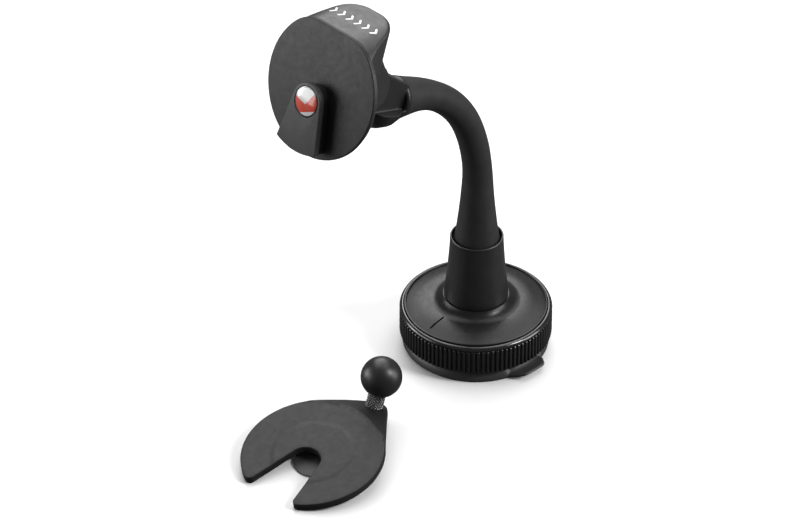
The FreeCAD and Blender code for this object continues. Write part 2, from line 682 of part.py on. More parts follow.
def head_housing():
    shell = hood_shell(0, -6.2)
    upper_back = [edge for edge in shell.Edges
                  if edge.BoundBox.ZMin > FACE_TOP - 6 and edge.BoundBox.XMax < -1.6]
    shell = shell.makeFillet(1.6, upper_back)
    dish = turned_about_x([
        (-1.5, 0), (-1.5, DISH_R), (-2.6, DISH_R), (-5.6, 24.5, -8.0, 19), (-9.0, 13), (-9.0, 0)])
    mask = prism(face_outline(FACE_R - 0.5, FACE_TOP - 0.4), in_yz, V(-30, 0, 0), V(30, 0, 0))
    ears = prism(ear_outline(), in_xz, V(0, -EAR_OUTER, 0), V(0, 2 * EAR_OUTER, 0))
    body = shell.fuse([dish.common(mask), ears])
    seat = turned_about_x([
        (-1, 0), (-1, FACE_BACK_R + 0.1), (-FACE_THICK - 0.1, FACE_BACK_R + 0.1),
        (-FACE_THICK - 0.1, 19), (-7, 16), (-7, 0)])
    hollow = hood_shell(2.0, 10.8)
    slot = block(V(-40, -EAR_INNER, -40), V(-11.0, EAR_INNER, 9.2))
    body = body.cut([seat, hollow, slot])
    bore = rod(TILT_R + SLIP, V(PIVOT_X, -EAR_OUTER - 1, PIVOT_Z), V(PIVOT_X, 9.8, PIVOT_Z))
    head_seat = rod(TILT_HEAD_R + 0.1, V(PIVOT_X, -EAR_OUTER - 1, PIVOT_Z),
                    V(PIVOT_X, -EAR_OUTER + TILT_HEAD_THICK + 0.1, PIVOT_Z))
    half = NUT_ACROSS / 2 + 0.05
    nut_seat = block(V(PIVOT_X - half, EAR_INNER - 1, PIVOT_Z - half),
                     V(PIVOT_X + half, EAR_INNER + NUT_THICK + 0.1, PIVOT_Z + half))
    body = body.cut([bore, head_seat, nut_seat])
    for angle in HEAD_SCREW_ANGLES:
        at = on_circle(HEAD_SCREW_CIRCLE_R, angle)
        hole = rod(HEAD_SCREW_R + 0.15, V(-20, at.x, at.y), V(0, at.x, at.y))
        seat = rod(2.2, V(-20, at.x, at.y), V(-5.0, at.x, at.y))
        body = body.cut(hole.fuse(seat))
    return head_to_row(body)


def head_screws():
    screws = []
    for angle in HEAD_SCREW_ANGLES:
        at = on_circle(HEAD_SCREW_CIRCLE_R, angle)
        head = rod(2.0, V(-6.3, at.x, at.y), V(-5.0, at.x, at.y))
        shank = rod(HEAD_SCREW_R, V(-5.0, at.x, at.y), V(-1.0, at.x, at.y))
        drive = block(V(-7, at.x - 1.2, at.y - 0.25), V(-5.6, at.x + 1.2, at.y + 0.25))
        cross = block(V(-7, at.x - 0.25, at.y - 1.2), V(-5.6, at.x + 0.25, at.y + 1.2))
        screws.append(head.fuse(shank).cut(drive.fuse(cross)))
    return head_to_row(group(screws))


def tilt_screw():
    outer = -EAR_OUTER
    shoulder = outer + TILT_HEAD_THICK
    head = rod(TILT_HEAD_R, V(PIVOT_X, outer, PIVOT_Z), V(PIVOT_X, shoulder, PIVOT_Z))
    shank = rod(TILT_R, V(PIVOT_X, shoulder, PIVOT_Z), V(PIVOT_X, 9.4, PIVOT_Z))
    drive = block(V(PIVOT_X - 2.6, outer - 1, PIVOT_Z - 0.4),
                  V(PIVOT_X + 2.6, outer + 1.0, PIVOT_Z + 0.4))
    return head_to_row(head.fuse(shank).cut(drive))


def tilt_nut():
    half = NUT_ACROSS / 2
    nut = block(V(PIVOT_X - half, EAR_INNER, PIVOT_Z - half),
                V(PIVOT_X + half, EAR_INNER + NUT_THICK, PIVOT_Z + half))
    bore = rod(TILT_R + SLIP, V(PIVOT_X, 0, PIVOT_Z), V(PIVOT_X, 20, PIVOT_Z))
    return head_to_row(nut.cut(bore))


def tilt_washers():
    inner = TONGUE_HALF + RUN
    disc = rod(WASHER_R, V(PIVOT_X, inner, PIVOT_Z), V(PIVOT_X, EAR_INNER - RUN, PIVOT_Z))
    washer = disc.cut(rod(TILT_R + SLIP, V(PIVOT_X, 0, PIVOT_Z), V(PIVOT_X, 20, PIVOT_Z)))
    return head_to_row(mirrored_pair(washer))


# ---- docking plate --------------------------------------------------------------------------

def notch_half_width(x):
    """Half the notch's width, that far along the plate."""
    angle = math.radians(NOTCH_HALF_ANGLE)
    start = NOTCH_CENTRE - NOTCH_R * math.sin(angle)
    return NOTCH_R * math.cos(angle) + (x - start) * math.tan(angle)


def tab_height(radius):
    """Height of the tab's top, which falls away from the fold as a cone."""
    return -(radius - TAB_FOLD_R) * math.tan(math.radians(TAB_SLOPE))


def stud_axis():
    slope = math.radians(TAB_SLOPE)
    return V(-math.sin(slope), 0, math.cos(slope))


def stud_foot():
    """Point on the tab's top where the stud's axis leaves it."""
    return V(-STUD_AT, 0, tab_height(STUD_AT))


def ball_centre():
    return stud_foot() + stud_axis() * BALL_RISE


def tab_outline():
    """Seen from above: straight sides from the plate's edge to a round end about the stud."""
    turn = math.acos((PLATE_R - TAB_END_R) / STUD_AT)
    edge = (-PLATE_R * math.cos(turn), PLATE_R * math.sin(turn))
    end = (-STUD_AT - TAB_END_R * math.cos(turn), TAB_END_R * math.sin(turn))
    return [(-8, -6), edge[:1] + (-edge[1],), end[:1] + (-end[1],),
            (-STUD_AT - TAB_END_R, 0) + end, edge, (-8, 6)]


def dock_plate():
    disc = Part.makeCylinder(PLATE_R, PLATE_THICK, V(0, 0, -PLATE_THICK))
    reach = STUD_AT + TAB_END_R + 3
    cone = turned([
        (0, 0), (TAB_FOLD_R, 0), (reach, tab_height(reach)),
        (reach, tab_height(reach) - PLATE_THICK - 0.5), (TAB_FOLD_R - 1, -PLATE_THICK),
        (0, -PLATE_THICK)])
    zone = prism(tab_outline(), in_xy, V(0, 0, -30), V(0, 0, 60))
    plate = disc.cut(zone).fuse(cone.common(zone)).removeSplitter()
    land = Part.makeCylinder(CATCH_R, CATCH_GAP + 0.2,
                             V(CATCH_CENTRE, 0, -PLATE_THICK - CATCH_GAP))
    land = land.common(block(V(-30, -30, -20), V(CATCH_LAND, 30, 0)))
    plate = plate.fuse(land)
    tip = PLATE_R + 8
    angle = math.radians(NOTCH_HALF_ANGLE)
    side = (NOTCH_CENTRE - NOTCH_R * math.sin(angle), NOTCH_R * math.cos(angle))
    notch = prism([
        (side[0], -side[1]), (tip, -notch_half_width(tip)), (tip, notch_half_width(tip)), side,
        (NOTCH_CENTRE - NOTCH_R, 0, side[0], -side[1])], in_xy, V(0, 0, -30), V(0, 0, 60))
    plate = plate.cut(notch)
    upright = [edge for edge in plate.Edges
               if edge.BoundBox.XMin > PLATE_R - 4 and edge.BoundBox.XLength < 0.1
               and edge.BoundBox.ZLength > 1]
    plate = plate.makeFillet(TIP_ROUND, upright)
    step = ring(STEP_R, PLATE_R, -STEP_DEPTH, 1).common(
        Part.makeCylinder(STEP_R + 0.5, 3, V(0, 0, -1)))
    plate = plate.cut(step)
    foot = stud_foot()
    axis = stud_axis()
    plate = plate.cut(rod(STUD_SHANK_R + SLIP, foot - axis * 10, foot + axis * 10))
    plate = plate.cut(rod(STUD_NUT_R + 0.3, foot - axis * 10, foot - axis * PLATE_THICK))
    for y in (-CATCH_SCREW_Y, CATCH_SCREW_Y):
        plate = plate.cut(rod(1.0 + SLIP, V(CATCH_SCREW_X, y, -20), V(CATCH_SCREW_X, y, -1.2)))
    return plate_to_row(plate)


def catch_plate():
    bottom = -PLATE_THICK - CATCH_GAP - CATCH_THICK
    catch = Part.makeCylinder(CATCH_R, CATCH_THICK, V(CATCH_CENTRE, 0, bottom))
    for y in (-CATCH_SCREW_Y, CATCH_SCREW_Y):
        catch = catch.cut(rod(1.2, V(CATCH_SCREW_X, y, -20), V(CATCH_SCREW_X, y, 0)))
    return plate_to_row(catch)


def catch_screws():
    seat = -PLATE_THICK - CATCH_GAP - CATCH_THICK
    screws = []
    for y in (-CATCH_SCREW_Y, CATCH_SCREW_Y):
        head = rod(1.9, V(CATCH_SCREW_X, y, seat - 1.2), V(CATCH_SCREW_X, y, seat))
        shank = rod(1.0, V(CATCH_SCREW_X, y, seat), V(CATCH_SCREW_X, y, -1.4))
        drive = block(V(CATCH_SCREW_X - 1.1, y - 0.25, seat - 2),
                      V(CATCH_SCREW_X + 1.1, y + 0.25, seat - 0.6))
        screws.append(head.fuse(shank).cut(drive))
    return plate_to_row(group(screws))


def ball_stud():
    axis = stud_axis()
    foot = stud_foot()
    neck = rod(STUD_NECK_R, foot + axis * 0.02, foot + axis * (BALL_RISE - 4.0))
    head = rod(STUD_SHANK_R, foot + axis * (BALL_RISE - 4.5), foot + axis * (BALL_RISE + 2.0))
    shank = rod(STUD_SHANK_R, foot + axis * 0.5, foot - axis * (PLATE_THICK + 3.0))
    return plate_to_row(neck.fuse([head, shank]))


def ball_cover():
    axis = stud_axis()
    centre = ball_centre()
    ball = Part.makeSphere(BALL_R, centre)
    neck = rod(STUD_NECK_R + SLIP, centre - axis * 20, centre - axis * (4.0 - SLIP))
    head = rod(STUD_SHANK_R + SLIP, centre - axis * 5, centre + axis * (2.0 + SLIP))
    return plate_to_row(ball.cut(neck.fuse(head)))


def nut_drop():
    """How far below the tab's underside the dome nut's centre is, so that it just touches."""
    tilt = math.radians(PLATE_TILT)
    under = stud_foot() - stud_axis() * PLATE_THICK
    height = plate_height() - under.x * math.sin(tilt) + under.z * math.cos(tilt)
    fall = math.cos(math.radians(TAB_SLOPE - PLATE_TILT))
    return (height - STUD_NUT_R) / fall


def stud_nut():
    axis = stud_axis()
    under = stud_foot() - axis * (PLATE_THICK + 0.02)
    centre = stud_foot() - axis * (PLATE_THICK + nut_drop())
    dome = Part.makeSphere(STUD_NUT_R, centre)
    barrel = rod(STUD_NUT_R, centre, under)
    above = rod(STUD_NUT_R + 1, under, under + axis * 10)
    bore = rod(STUD_SHANK_R + SLIP, under + axis, under - axis * 3.1)
    return plate_to_row(dome.fuse(barrel).cut(above.fuse(bore)))


PARTS = [
    suction_cup, base_frame, base_screws, lock_ring, lift_stem, cam_pin, base_cover, arm_collar,
    swivel_bush, arm_sleeve, arm_core, swivel_washer, swivel_screw, tilt_knuckle, face_plate,
    badge, head_housing, head_screws, tilt_screw, tilt_nut, tilt_washers, dock_plate,
    catch_plate, catch_screws, ball_stud, ball_cover, stud_nut]

os.makedirs("parts", exist_ok=True)
for make in PARTS:
    shape = make()
    solids = len(shape.Solids)
    box = shape.BoundBox
    print(f"{make.__name__}: valid {shape.isValid()}, {solids} solids, {shape.Volume:.0f} mm3,"
          f" z {box.ZMin:.2f} to {box.ZMax:.2f}")
    shape.exportStep(f"parts/{make.__name__}.step")
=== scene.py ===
"""Looks of the windscreen mount and its docking plate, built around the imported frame."""

import json
import math

import bmesh
import bpy
from mathutils import Matrix, Vector
from mathutils.geometry import delaunay_2d_cdt


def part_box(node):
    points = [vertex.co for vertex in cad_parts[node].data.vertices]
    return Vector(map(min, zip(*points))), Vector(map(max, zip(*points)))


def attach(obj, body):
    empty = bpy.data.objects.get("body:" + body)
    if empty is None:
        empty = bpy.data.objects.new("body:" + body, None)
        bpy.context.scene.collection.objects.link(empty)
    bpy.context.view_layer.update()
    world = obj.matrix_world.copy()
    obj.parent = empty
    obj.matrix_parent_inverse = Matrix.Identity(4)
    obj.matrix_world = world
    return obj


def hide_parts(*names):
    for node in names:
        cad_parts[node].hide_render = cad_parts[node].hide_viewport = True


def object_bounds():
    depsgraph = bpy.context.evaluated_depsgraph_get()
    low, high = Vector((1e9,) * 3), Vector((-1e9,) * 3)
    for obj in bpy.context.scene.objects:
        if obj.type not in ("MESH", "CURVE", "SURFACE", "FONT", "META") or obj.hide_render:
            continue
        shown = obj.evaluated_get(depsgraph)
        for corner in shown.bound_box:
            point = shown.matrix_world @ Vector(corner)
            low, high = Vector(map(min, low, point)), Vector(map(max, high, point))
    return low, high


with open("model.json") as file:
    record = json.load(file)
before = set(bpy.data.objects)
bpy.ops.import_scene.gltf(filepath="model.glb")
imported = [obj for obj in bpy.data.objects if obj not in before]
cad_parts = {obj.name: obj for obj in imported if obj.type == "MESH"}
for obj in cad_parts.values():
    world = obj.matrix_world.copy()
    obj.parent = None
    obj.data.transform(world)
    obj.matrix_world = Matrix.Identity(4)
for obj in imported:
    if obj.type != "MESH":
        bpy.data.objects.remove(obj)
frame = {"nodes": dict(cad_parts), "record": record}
cad_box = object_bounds()

# Shapes are given in millimetres in their own frames, and placed in metres.
MM = 0.001

# Suction cup
CUP_R = 30.5
CUP_TOP = 4.7
CUP_SEAL_R = 24.5
CUP_CAVITY = 3.2
CUP_BOSS_R = 8.6
CUP_BOSS_TOP = 7.6
STEM_HOLE_R = 3.8
DISC_HOLE_R = 6.8
DISC_HOLE_BOTTOM = 4.2
DISC_HOLE_TOP = 6.1
LIP_START = 28.2                    # radius where the lip turns down
TAB_AZIMUTH = math.radians(-1.0)
TAB_REACH = 35.4
TAB_SIDE = (3.3, 4.8, 143.7)        # the side's line, 3.3 x + 4.8 y = 143.7
TAB_THICK = 1.45

# Lock ring
RING_R = 31.7
RIB_COUNT = 100
RIB_COLUMNS = 14
RIB_DEPTH = 0.95
RIB_END = 0.7
RING_BOTTOM = 4.9
RIB_TOP = 16.2
RING_TOP = 18.2
RING_INNER_R = 28.6
SLEEVE_INNER_R = 13.7
SLEEVE_R = 16.2
SLEEVE_TOP = 17.0
WEB_BOTTOM = 6.5
WEB_TOP = 8.3

# Cover and collar
COVER_R = 29.7
COVER_TOP = 23.4
COVER_HOLE_R = 9.4
HUB_TOP = 21.4
MARK_FROM = 18.7
MARK_TO = 27.8
MARK_WIDTH = 0.8
MARK_DEPTH = 0.4
COVER_FLAT = ((28.8, 18.9), (19.5, 20.5))   # radius and height of the nearly flat stretch's ends
COLLAR_FOOT_R = 13.3
COLLAR_WAIST_R = 11.85
COLLAR_TOP_R = 11.0
COLLAR_BOTTOM = 23.45
COLLAR_TOP = 52.9
COLLAR_BORE_R = 10.05
COLLAR_STUB_R = 5.05
COLLAR_FLOOR = 30.0
COLLAR_FLOOR_TOP = 33.0
COLLAR_CAVITY_R = 8.8

# Arm, in its own frame: it stands on z and leans towards +x
ARM_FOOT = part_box("arm_sleeve")[0].z / MM
BEND_START = 79.6
WIDE_BEND_R = 78.5
WIDE_BEND = math.radians(22)
TIGHT_BEND_R = 55.7
ARM_END = math.radians(71)          # from the vertical
STRAIGHT = 8.1
ARM_FOOT_R = 9.8
ARM_WAIST_R = 6.05
ARM_END_R = 8.7
FOOT_FLARE = 42.0
END_FLARE = 26.0
SLEEVE_THICK = 1.3

# Head, in its own frame: x out of the face, z up along it, origin at the face's centre
FACE_R = 28.24
FACE_TOP = 24.6
SHOULDER = math.radians(45)
FACE_RIM = 1.4
FACE_THICK = 3.0
FACE_BACK_R = 24.0
LUG_CENTRE = -5.24
LUG_R = 7.4
LUG_NECK_R = 6.4
LUG_HALF_ANGLE = math.radians(10)
LUG_NECK_LENGTH = 3.9
LUG_HEIGHT = 6.2
LUG_BOTTOM_R = 26.1
BADGE_R = 6.0
BADGE_DEPTH = 1.2
BADGE_DOME = 0.6
PRINT_TURN = math.radians(25)       # the print's own lean on the badge
FACE_MOUNT_HEIGHT = 14.0            # the head_face mount's height above the face's centre
HOOD_SLOPE = math.tan(math.radians(17))
CHEVRON_COUNT = 6
CHEVRON_PITCH = 4.4
CHEVRON_DEPTH = 3.8
CHEVRON_WIDTH = 1.1
CHEVRON_LEAN = 1.5
CHEVRON_BACK = 10.3                 # the row's distance behind the face

# Docking plate, in its own frame: x towards the notch's opening, origin on top at the centre
PLATE_R = 29.2
PLATE_THICK = 3.3
NOTCH_CENTRE = 5.4
NOTCH_R = 6.9
NOTCH_HALF_ANGLE = math.radians(11.5)
TIP_ROUND = 2.2
STEP_R = 16.5
STEP_DEPTH = 0.12
TAB_FOLD_R = 27.6
TAB_SLOPE = math.radians(30)
STUD_AT = 37.2
TAB_END_R = 5.2
BALL_R = 8.5
BALL_RISE = 13.3
STUD_NECK_R = 3.75
STUD_SHANK_R = 2.5
CATCH_R = 8.8
CATCH_CENTRE = -0.8
CATCH_GAP = 2.35
CATCH_THICK = 0.5
CATCH_LAND = -2.8                   # the land under the plate ends here
KNURL_TURNS = 18
KNURL_TWIST = 1.1
KNURL_DEPTH = 0.4


# ---- frames -------------------------------------------------------------------------------

mounts = {mount["name"]: mount for mount in frame["record"]["mounts"]}


def place_of(x_axis, z_axis, point, local_point):
    """Takes a local frame in millimetres to the row's metres, with local_point at point."""
    x = Vector(x_axis).normalized()
    y = Vector(z_axis).cross(x).normalized()
    turn = Matrix((x, y, x.cross(y))).transposed().to_4x4() @ Matrix.Scale(MM, 4)
    return Matrix.Translation(Vector(point)) @ turn @ Matrix.Translation(-Vector(local_point))


ROW = Matrix.Scale(MM, 4)
ARM = Matrix.Rotation(math.radians(-90), 4, "Z") @ ROW
HEAD = place_of(mounts["head_face"]["axis"], -Vector(mounts["head_lug"]["axis"]),
                mounts["head_face"]["pos_m"], (0, 0, FACE_MOUNT_HEIGHT))
PLATE = place_of(mounts["plate_notch"]["axis"], (0, 0, 1),
                 mounts["plate_notch"]["pos_m"], (NOTCH_CENTRE, 0, -PLATE_THICK / 2))


# ---- outlines -----------------------------------------------------------------------------

def turn_2d(point, angle):
    cos, sin = math.cos(angle), math.sin(angle)
    return Vector((point.x * cos - point.y * sin, point.x * sin + point.y * cos))


def swing(start, end, centre, steps):
    """Points from start round to end about the centre, the shorter way, both ends included."""
    first, last = Vector(start) - Vector(centre), Vector(end) - Vector(centre)
    sweep = math.atan2(first.x * last.y - first.y * last.x, first.dot(last))
    return [Vector(centre) + turn_2d(first, sweep * k / steps) for k in range(steps + 1)]


def rounded(corners, steps=5):
    """A closed outline. A corner is (a, b) or (a, b, radius of its rounding)."""
    points = []
    for i, corner in enumerate(corners):
        here = Vector(corner[:2])
        if len(corner) == 2:
            points.append(here)
            continue
        before = (Vector(corners[i - 1][:2]) - here).normalized()
        after = (Vector(corners[(i + 1) % len(corners)][:2]) - here).normalized()
        half = before.angle(after) / 2
        reach = corner[2] / math.tan(half)
        centre = here + (before + after).normalized() * corner[2] / math.sin(half)
        points += swing(here + before * reach, here + after * reach, centre, steps)
    return points


def through(start, middle, end, steps):
    """Points of the arc from start through middle to end, without its two ends."""
    a, b, c = Vector(start), Vector(middle), Vector(end)
    ab, ac = b - a, c - a
    cross = 2 * (ab.x * ac.y - ab.y * ac.x)
    offset = Vector((ac.y * ab.length_squared - ab.y * ac.length_squared,
                     ab.x * ac.length_squared - ac.x * ab.length_squared)) / cross
    return swing(a, c, a + offset, steps)[1:-1]


def inset(outline, distance):
    """The outline moved inwards. It runs counterclockwise."""
    moved = []
    for i, here in enumerate(outline):
        before = (here - outline[i - 1]).normalized()
        after = (outline[(i + 1) % len(outline)] - here).normalized()
        normal = Vector((-before.y - after.y, before.x + after.x)).normalized()
        lean = max(0.3, normal.dot(Vector((-after.y, after.x))))
        moved.append(here + normal * distance / lean)
    return moved


def cap_height(radius, rise, at):
    """Height of a round cap above its rim, at that distance from its middle."""
    ball = (radius ** 2 + rise ** 2) / (2 * rise)
    return math.sqrt(ball ** 2 - at ** 2) - (ball - rise)


def ease(low, high, value):
    """Smooth step from 0 at low to 1 at high."""
    share = min(1.0, max(0.0, (value - low) / (high - low)))
    return share * share * (3 - 2 * share)


def soft_min(a, b, width):
    near = max(width - abs(a - b), 0.0) / width
    return min(a, b) - near * near * width / 4


# ---- meshes -------------------------------------------------------------------------------

def new_object(name, points, faces, place):
    mesh = bpy.data.meshes.new(name)
    mesh.from_pydata([place @ Vector(point) for point in points], [], faces)
    shape = bmesh.new()
    shape.from_mesh(mesh)
    bmesh.ops.remove_doubles(shape, verts=shape.verts, dist=2e-7)
    bmesh.ops.dissolve_degenerate(shape, edges=shape.edges, dist=1e-8)
    bmesh.ops.recalc_face_normals(shape, faces=shape.faces)
    shape.to_mesh(mesh)
    shape.free()
    obj = bpy.data.objects.new(name, mesh)
    bpy.context.scene.collection.objects.link(obj)
    return obj


def turned(name, profile_at, columns, place=ROW):
    """Turns a (radius, height) outline about z. profile_at gives it for an angle."""
    points, faces = [], []
    for i in range(columns):
        angle = 2 * math.pi * i / columns
        profile = profile_at(angle)
        points += [(r * math.cos(angle), r * math.sin(angle), z) for r, z in profile]
    rows = len(profile)
    for i in range(columns):
        here, there = i * rows, (i + 1) % columns * rows
        for k in range(rows):
            after = (k + 1) % rows
            faces.append((here + k, there + k, there + after, here + after))
    return new_object(name, points, faces, place)


def filled(outline, loops, spacing):
    """Triangles that fill the outline, with points on the loops and every spacing between."""
    points = list(outline)
    edges = []
    for loop in loops:
        first = len(points)
        points += loop
        edges += [(first + i, first + i + 1) for i in range(len(loop) - 1)]
    if spacing:
        low = [min(p[k] for p in outline) for k in (0, 1)]
        high = [max(p[k] for p in outline) for k in (0, 1)]
        fixed = list(points)
        for i in range(int((high[0] - low[0]) / spacing)):
            for j in range(int((high[1] - low[1]) / spacing)):
                at = Vector((low[0] + (i + 0.5 + j % 2 / 2) * spacing,
                             low[1] + (j + 0.5) * spacing))
                if min((at - p).length for p in fixed) > spacing * 0.6:
                    points.append(at)
    made = delaunay_2d_cdt(points, edges, [list(range(len(outline)))], 1, 1e-5)
    return made[0], made[2]


def slab(name, outline, layers, place, upright=None, height=None, loops=(), spacing=None):
    """A plate with that outline. Each layer is (inset, height), from the bottom to the top.
    upright takes (a, b, height) to the local frame, and height(a, b) lifts or drops a point."""
    upright = upright or (lambda a, b, c: (a, b, c))
    height = height or (lambda a, b: 0.0)
    points, faces = [], []
    count = len(outline)
    for distance, level in layers:
        for p in inset(outline, distance):
            points.append(upright(p.x, p.y, level + height(p.x, p.y)))
    for k in range(len(layers) - 1):
        for i in range(count):
            j = (i + 1) % count
            here, above = k * count, (k + 1) * count
            faces.append((here + i, here + j, above + j, above + i))
    for distance, level in (layers[0], layers[-1]):
        flat, triangles = filled(inset(outline, distance), loops, spacing)
        first = len(points)
        points += [upright(p.x, p.y, level + height(p.x, p.y)) for p in flat]
        faces += [[first + i for i in triangle] for triangle in triangles]
    return new_object(name, points, faces, place)


def soft_edges(low, high, radius_low, radius_high, steps=4):
    """Layers of a slab between two heights, with both edges rounded."""
    layers = []
    for radius, level, way in ((radius_low, low, 1), (radius_high, high, -1)):
        turn = [math.pi / 2 * k / steps for k in range(steps + 1)]
        part = [(radius * (1 - math.sin(a)), level + way * radius * (1 - math.cos(a)))
                for a in turn]
        layers += part if way == 1 else part[::-1]
    return layers


def apply_modifiers(obj):
    graph = bpy.context.evaluated_depsgraph_get()
    mesh = bpy.data.meshes.new_from_object(obj.evaluated_get(graph))
    obj.modifiers.clear()
    obj.data = mesh


def combine(obj, tools, operation):
    """Joins the tools to the object, or cuts them from it, and removes them."""
    for tool in tools:
        modifier = obj.modifiers.new("combine", "BOOLEAN")
        modifier.object = tool
        modifier.operation = operation
        modifier.solver = "EXACT"
        apply_modifiers(obj)
        bpy.data.objects.remove(tool)
    return obj


def softened(name, node, voxel, rounds):
    """A copy of a CAD node with an even mesh and moulded, rounded edges."""
    shape = bmesh.new()
    shape.from_mesh(frame["nodes"][node].data)
    bmesh.ops.remove_doubles(shape, verts=shape.verts, dist=1e-6)
    mesh = bpy.data.meshes.new(name)
    shape.to_mesh(mesh)
    shape.free()
    obj = bpy.data.objects.new(name, mesh)
    bpy.context.scene.collection.objects.link(obj)
    remesh = obj.modifiers.new("even", "REMESH")
    remesh.mode = "VOXEL"
    remesh.voxel_size = voxel * MM
    smooth = obj.modifiers.new("round", "SMOOTH")
    smooth.factor = 0.5
    smooth.iterations = rounds
    apply_modifiers(obj)
    return obj


def dress(obj, body, nodes, materials, sharp=math.radians(40)):
    """Shades a piece, gives it its materials and hangs it on its body in its nodes' place."""
    obj.data.materials.clear()
    for material in materials:
        obj.data.materials.append(material)
    obj.data.polygons.foreach_set("use_smooth", [True] * len(obj.data.polygons))
    obj.data.set_sharp_from_angle(angle=sharp)
    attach(obj, body)
    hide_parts(*nodes)
    return obj


# ---- materials ----------------------------------------------------------------------------

def noise(tree, scale, detail=3.0):
    """Noise over the object, with features of about 1 / scale metres."""
    where = tree.nodes.new("ShaderNodeTexCoord")
    texture = tree.nodes.new("ShaderNodeTexNoise")
    texture.inputs["Scale"].default_value = scale
    texture.inputs["Detail"].default_value = detail
    tree.links.new(where.outputs["Object"], texture.inputs["Vector"])
    return texture.outputs["Fac"]


def spread(tree, value, low, high):
    """Takes the middle of a noise's range to low..high."""
    node = tree.nodes.new("ShaderNodeMapRange")
    node.inputs["From Min"].default_value = 0.3
    node.inputs["From Max"].default_value = 0.7
    node.inputs["To Min"].default_value = low
    node.inputs["To Max"].default_value = high
    tree.links.new(value, node.inputs["Value"])
    return node.outputs["Result"]


def blended(tree, share, first, second):
    """A colour between two, by share. Each is a colour or an output."""
    node = tree.nodes.new("ShaderNodeMix")
    node.data_type = "RGBA"
    tree.links.new(share, node.inputs["Factor"])
    for socket, colour in (("A", first), ("B", second)):
        target = next(s for s in node.inputs if s.name == socket and s.type == "RGBA")
        if isinstance(colour, tuple):
            target.default_value = colour + (1.0,)
        else:
            tree.links.new(colour, target)
    return next(s for s in node.outputs if s.type == "RGBA")


def highlit_edges(tree, low, high):
    """1 on the mesh's outer edges, where a lighter colour paints in a highlight."""
    shape = tree.nodes.new("ShaderNodeNewGeometry")
    node = tree.nodes.new("ShaderNodeMapRange")
    node.interpolation_type = "SMOOTHSTEP"
    node.inputs["From Min"].default_value = low
    node.inputs["From Max"].default_value = high
    tree.links.new(shape.outputs["Pointiness"], node.inputs["Value"])
    return node.outputs["Result"]


def finish_of(name, colour, roughness, grain=2600.0, depth=0.02, mottle=0.12, rough_range=0.05,
              metallic=0.0, specular=0.5, coat=0.0, edge_highlight=None, fine=None):
    """Moulded or turned surface. grain is the texture's fineness and depth its height in
    millimetres. mottle is the share that the colour varies by. The edge highlight argument
    gives where a painted highlight lightens the edges, begins and ends, and how much lighter
    it makes them. fine is a second grain and its depth."""
    material = bpy.data.materials.new(name)
    material.use_nodes = True
    tree = material.node_tree
    shader = tree.nodes["Principled BSDF"]
    shader.inputs["Metallic"].default_value = metallic
    shader.inputs["Specular IOR Level"].default_value = specular
    shader.inputs["Coat Weight"].default_value = coat
    shader.inputs["Coat Roughness"].default_value = 0.12
    dark = tuple(channel * (1 - mottle) for channel in colour)
    light = tuple(min(1.0, channel * (1 + mottle)) for channel in colour)
    tint = blended(tree, spread(tree, noise(tree, 160.0), 0.0, 1.0), dark, light)
    # Painted highlight: where the mesh is pointy, on its outer edges, the base colour is lighter.
    if edge_highlight:
        highlight_colour = tuple(min(1.0, channel * edge_highlight[2]) for channel in colour)
        tint = blended(tree, highlit_edges(tree, edge_highlight[0], edge_highlight[1]), tint, highlight_colour)
    tree.links.new(tint, shader.inputs["Base Color"])
    streaks = spread(tree, noise(tree, 420.0, 5.0), roughness - rough_range,
                     roughness + rough_range)
    tree.links.new(streaks, shader.inputs["Roughness"])
    bump = tree.nodes.new("ShaderNodeBump")
    bump.inputs["Distance"].default_value = depth * MM
    bump.inputs["Strength"].default_value = 0.8
    tree.links.new(noise(tree, grain, 2.0), bump.inputs["Height"])
    normal = bump.outputs["Normal"]
    if fine:
        second = tree.nodes.new("ShaderNodeBump")
        second.inputs["Distance"].default_value = fine[1] * MM
        second.inputs["Strength"].default_value = 0.8
        tree.links.new(noise(tree, fine[0], 1.0), second.inputs["Height"])
        tree.links.new(normal, second.inputs["Normal"])
        normal = second.outputs["Normal"]
    tree.links.new(normal, shader.inputs["Normal"])
    return material


def local_axis(tree, name, axis):
    """One coordinate of a piece's own stored position, x, y or z."""
    stored = tree.nodes.new("ShaderNodeAttribute")
    stored.attribute_name = name
    split = tree.nodes.new("ShaderNodeSeparateXYZ")
    tree.links.new(stored.outputs["Vector"], split.inputs["Vector"])
    return split.outputs[axis]


def maths(tree, operation, first, second=0.0):
    node = tree.nodes.new("ShaderNodeMath")
    node.operation = operation
    for socket, value in zip(node.inputs, (first, second)):
        if isinstance(value, (int, float)):
            socket.default_value = value
        else:
            tree.links.new(value, socket)
    return node.outputs["Value"]


def step_mask(tree, value, edge, width):
    """0 below the edge and 1 above it."""
    node = tree.nodes.new("ShaderNodeMapRange")
    node.inputs["From Min"].default_value = edge - width / 2
    node.inputs["From Max"].default_value = edge + width / 2
    tree.links.new(value, node.inputs["Value"])
    return node.outputs["Result"]


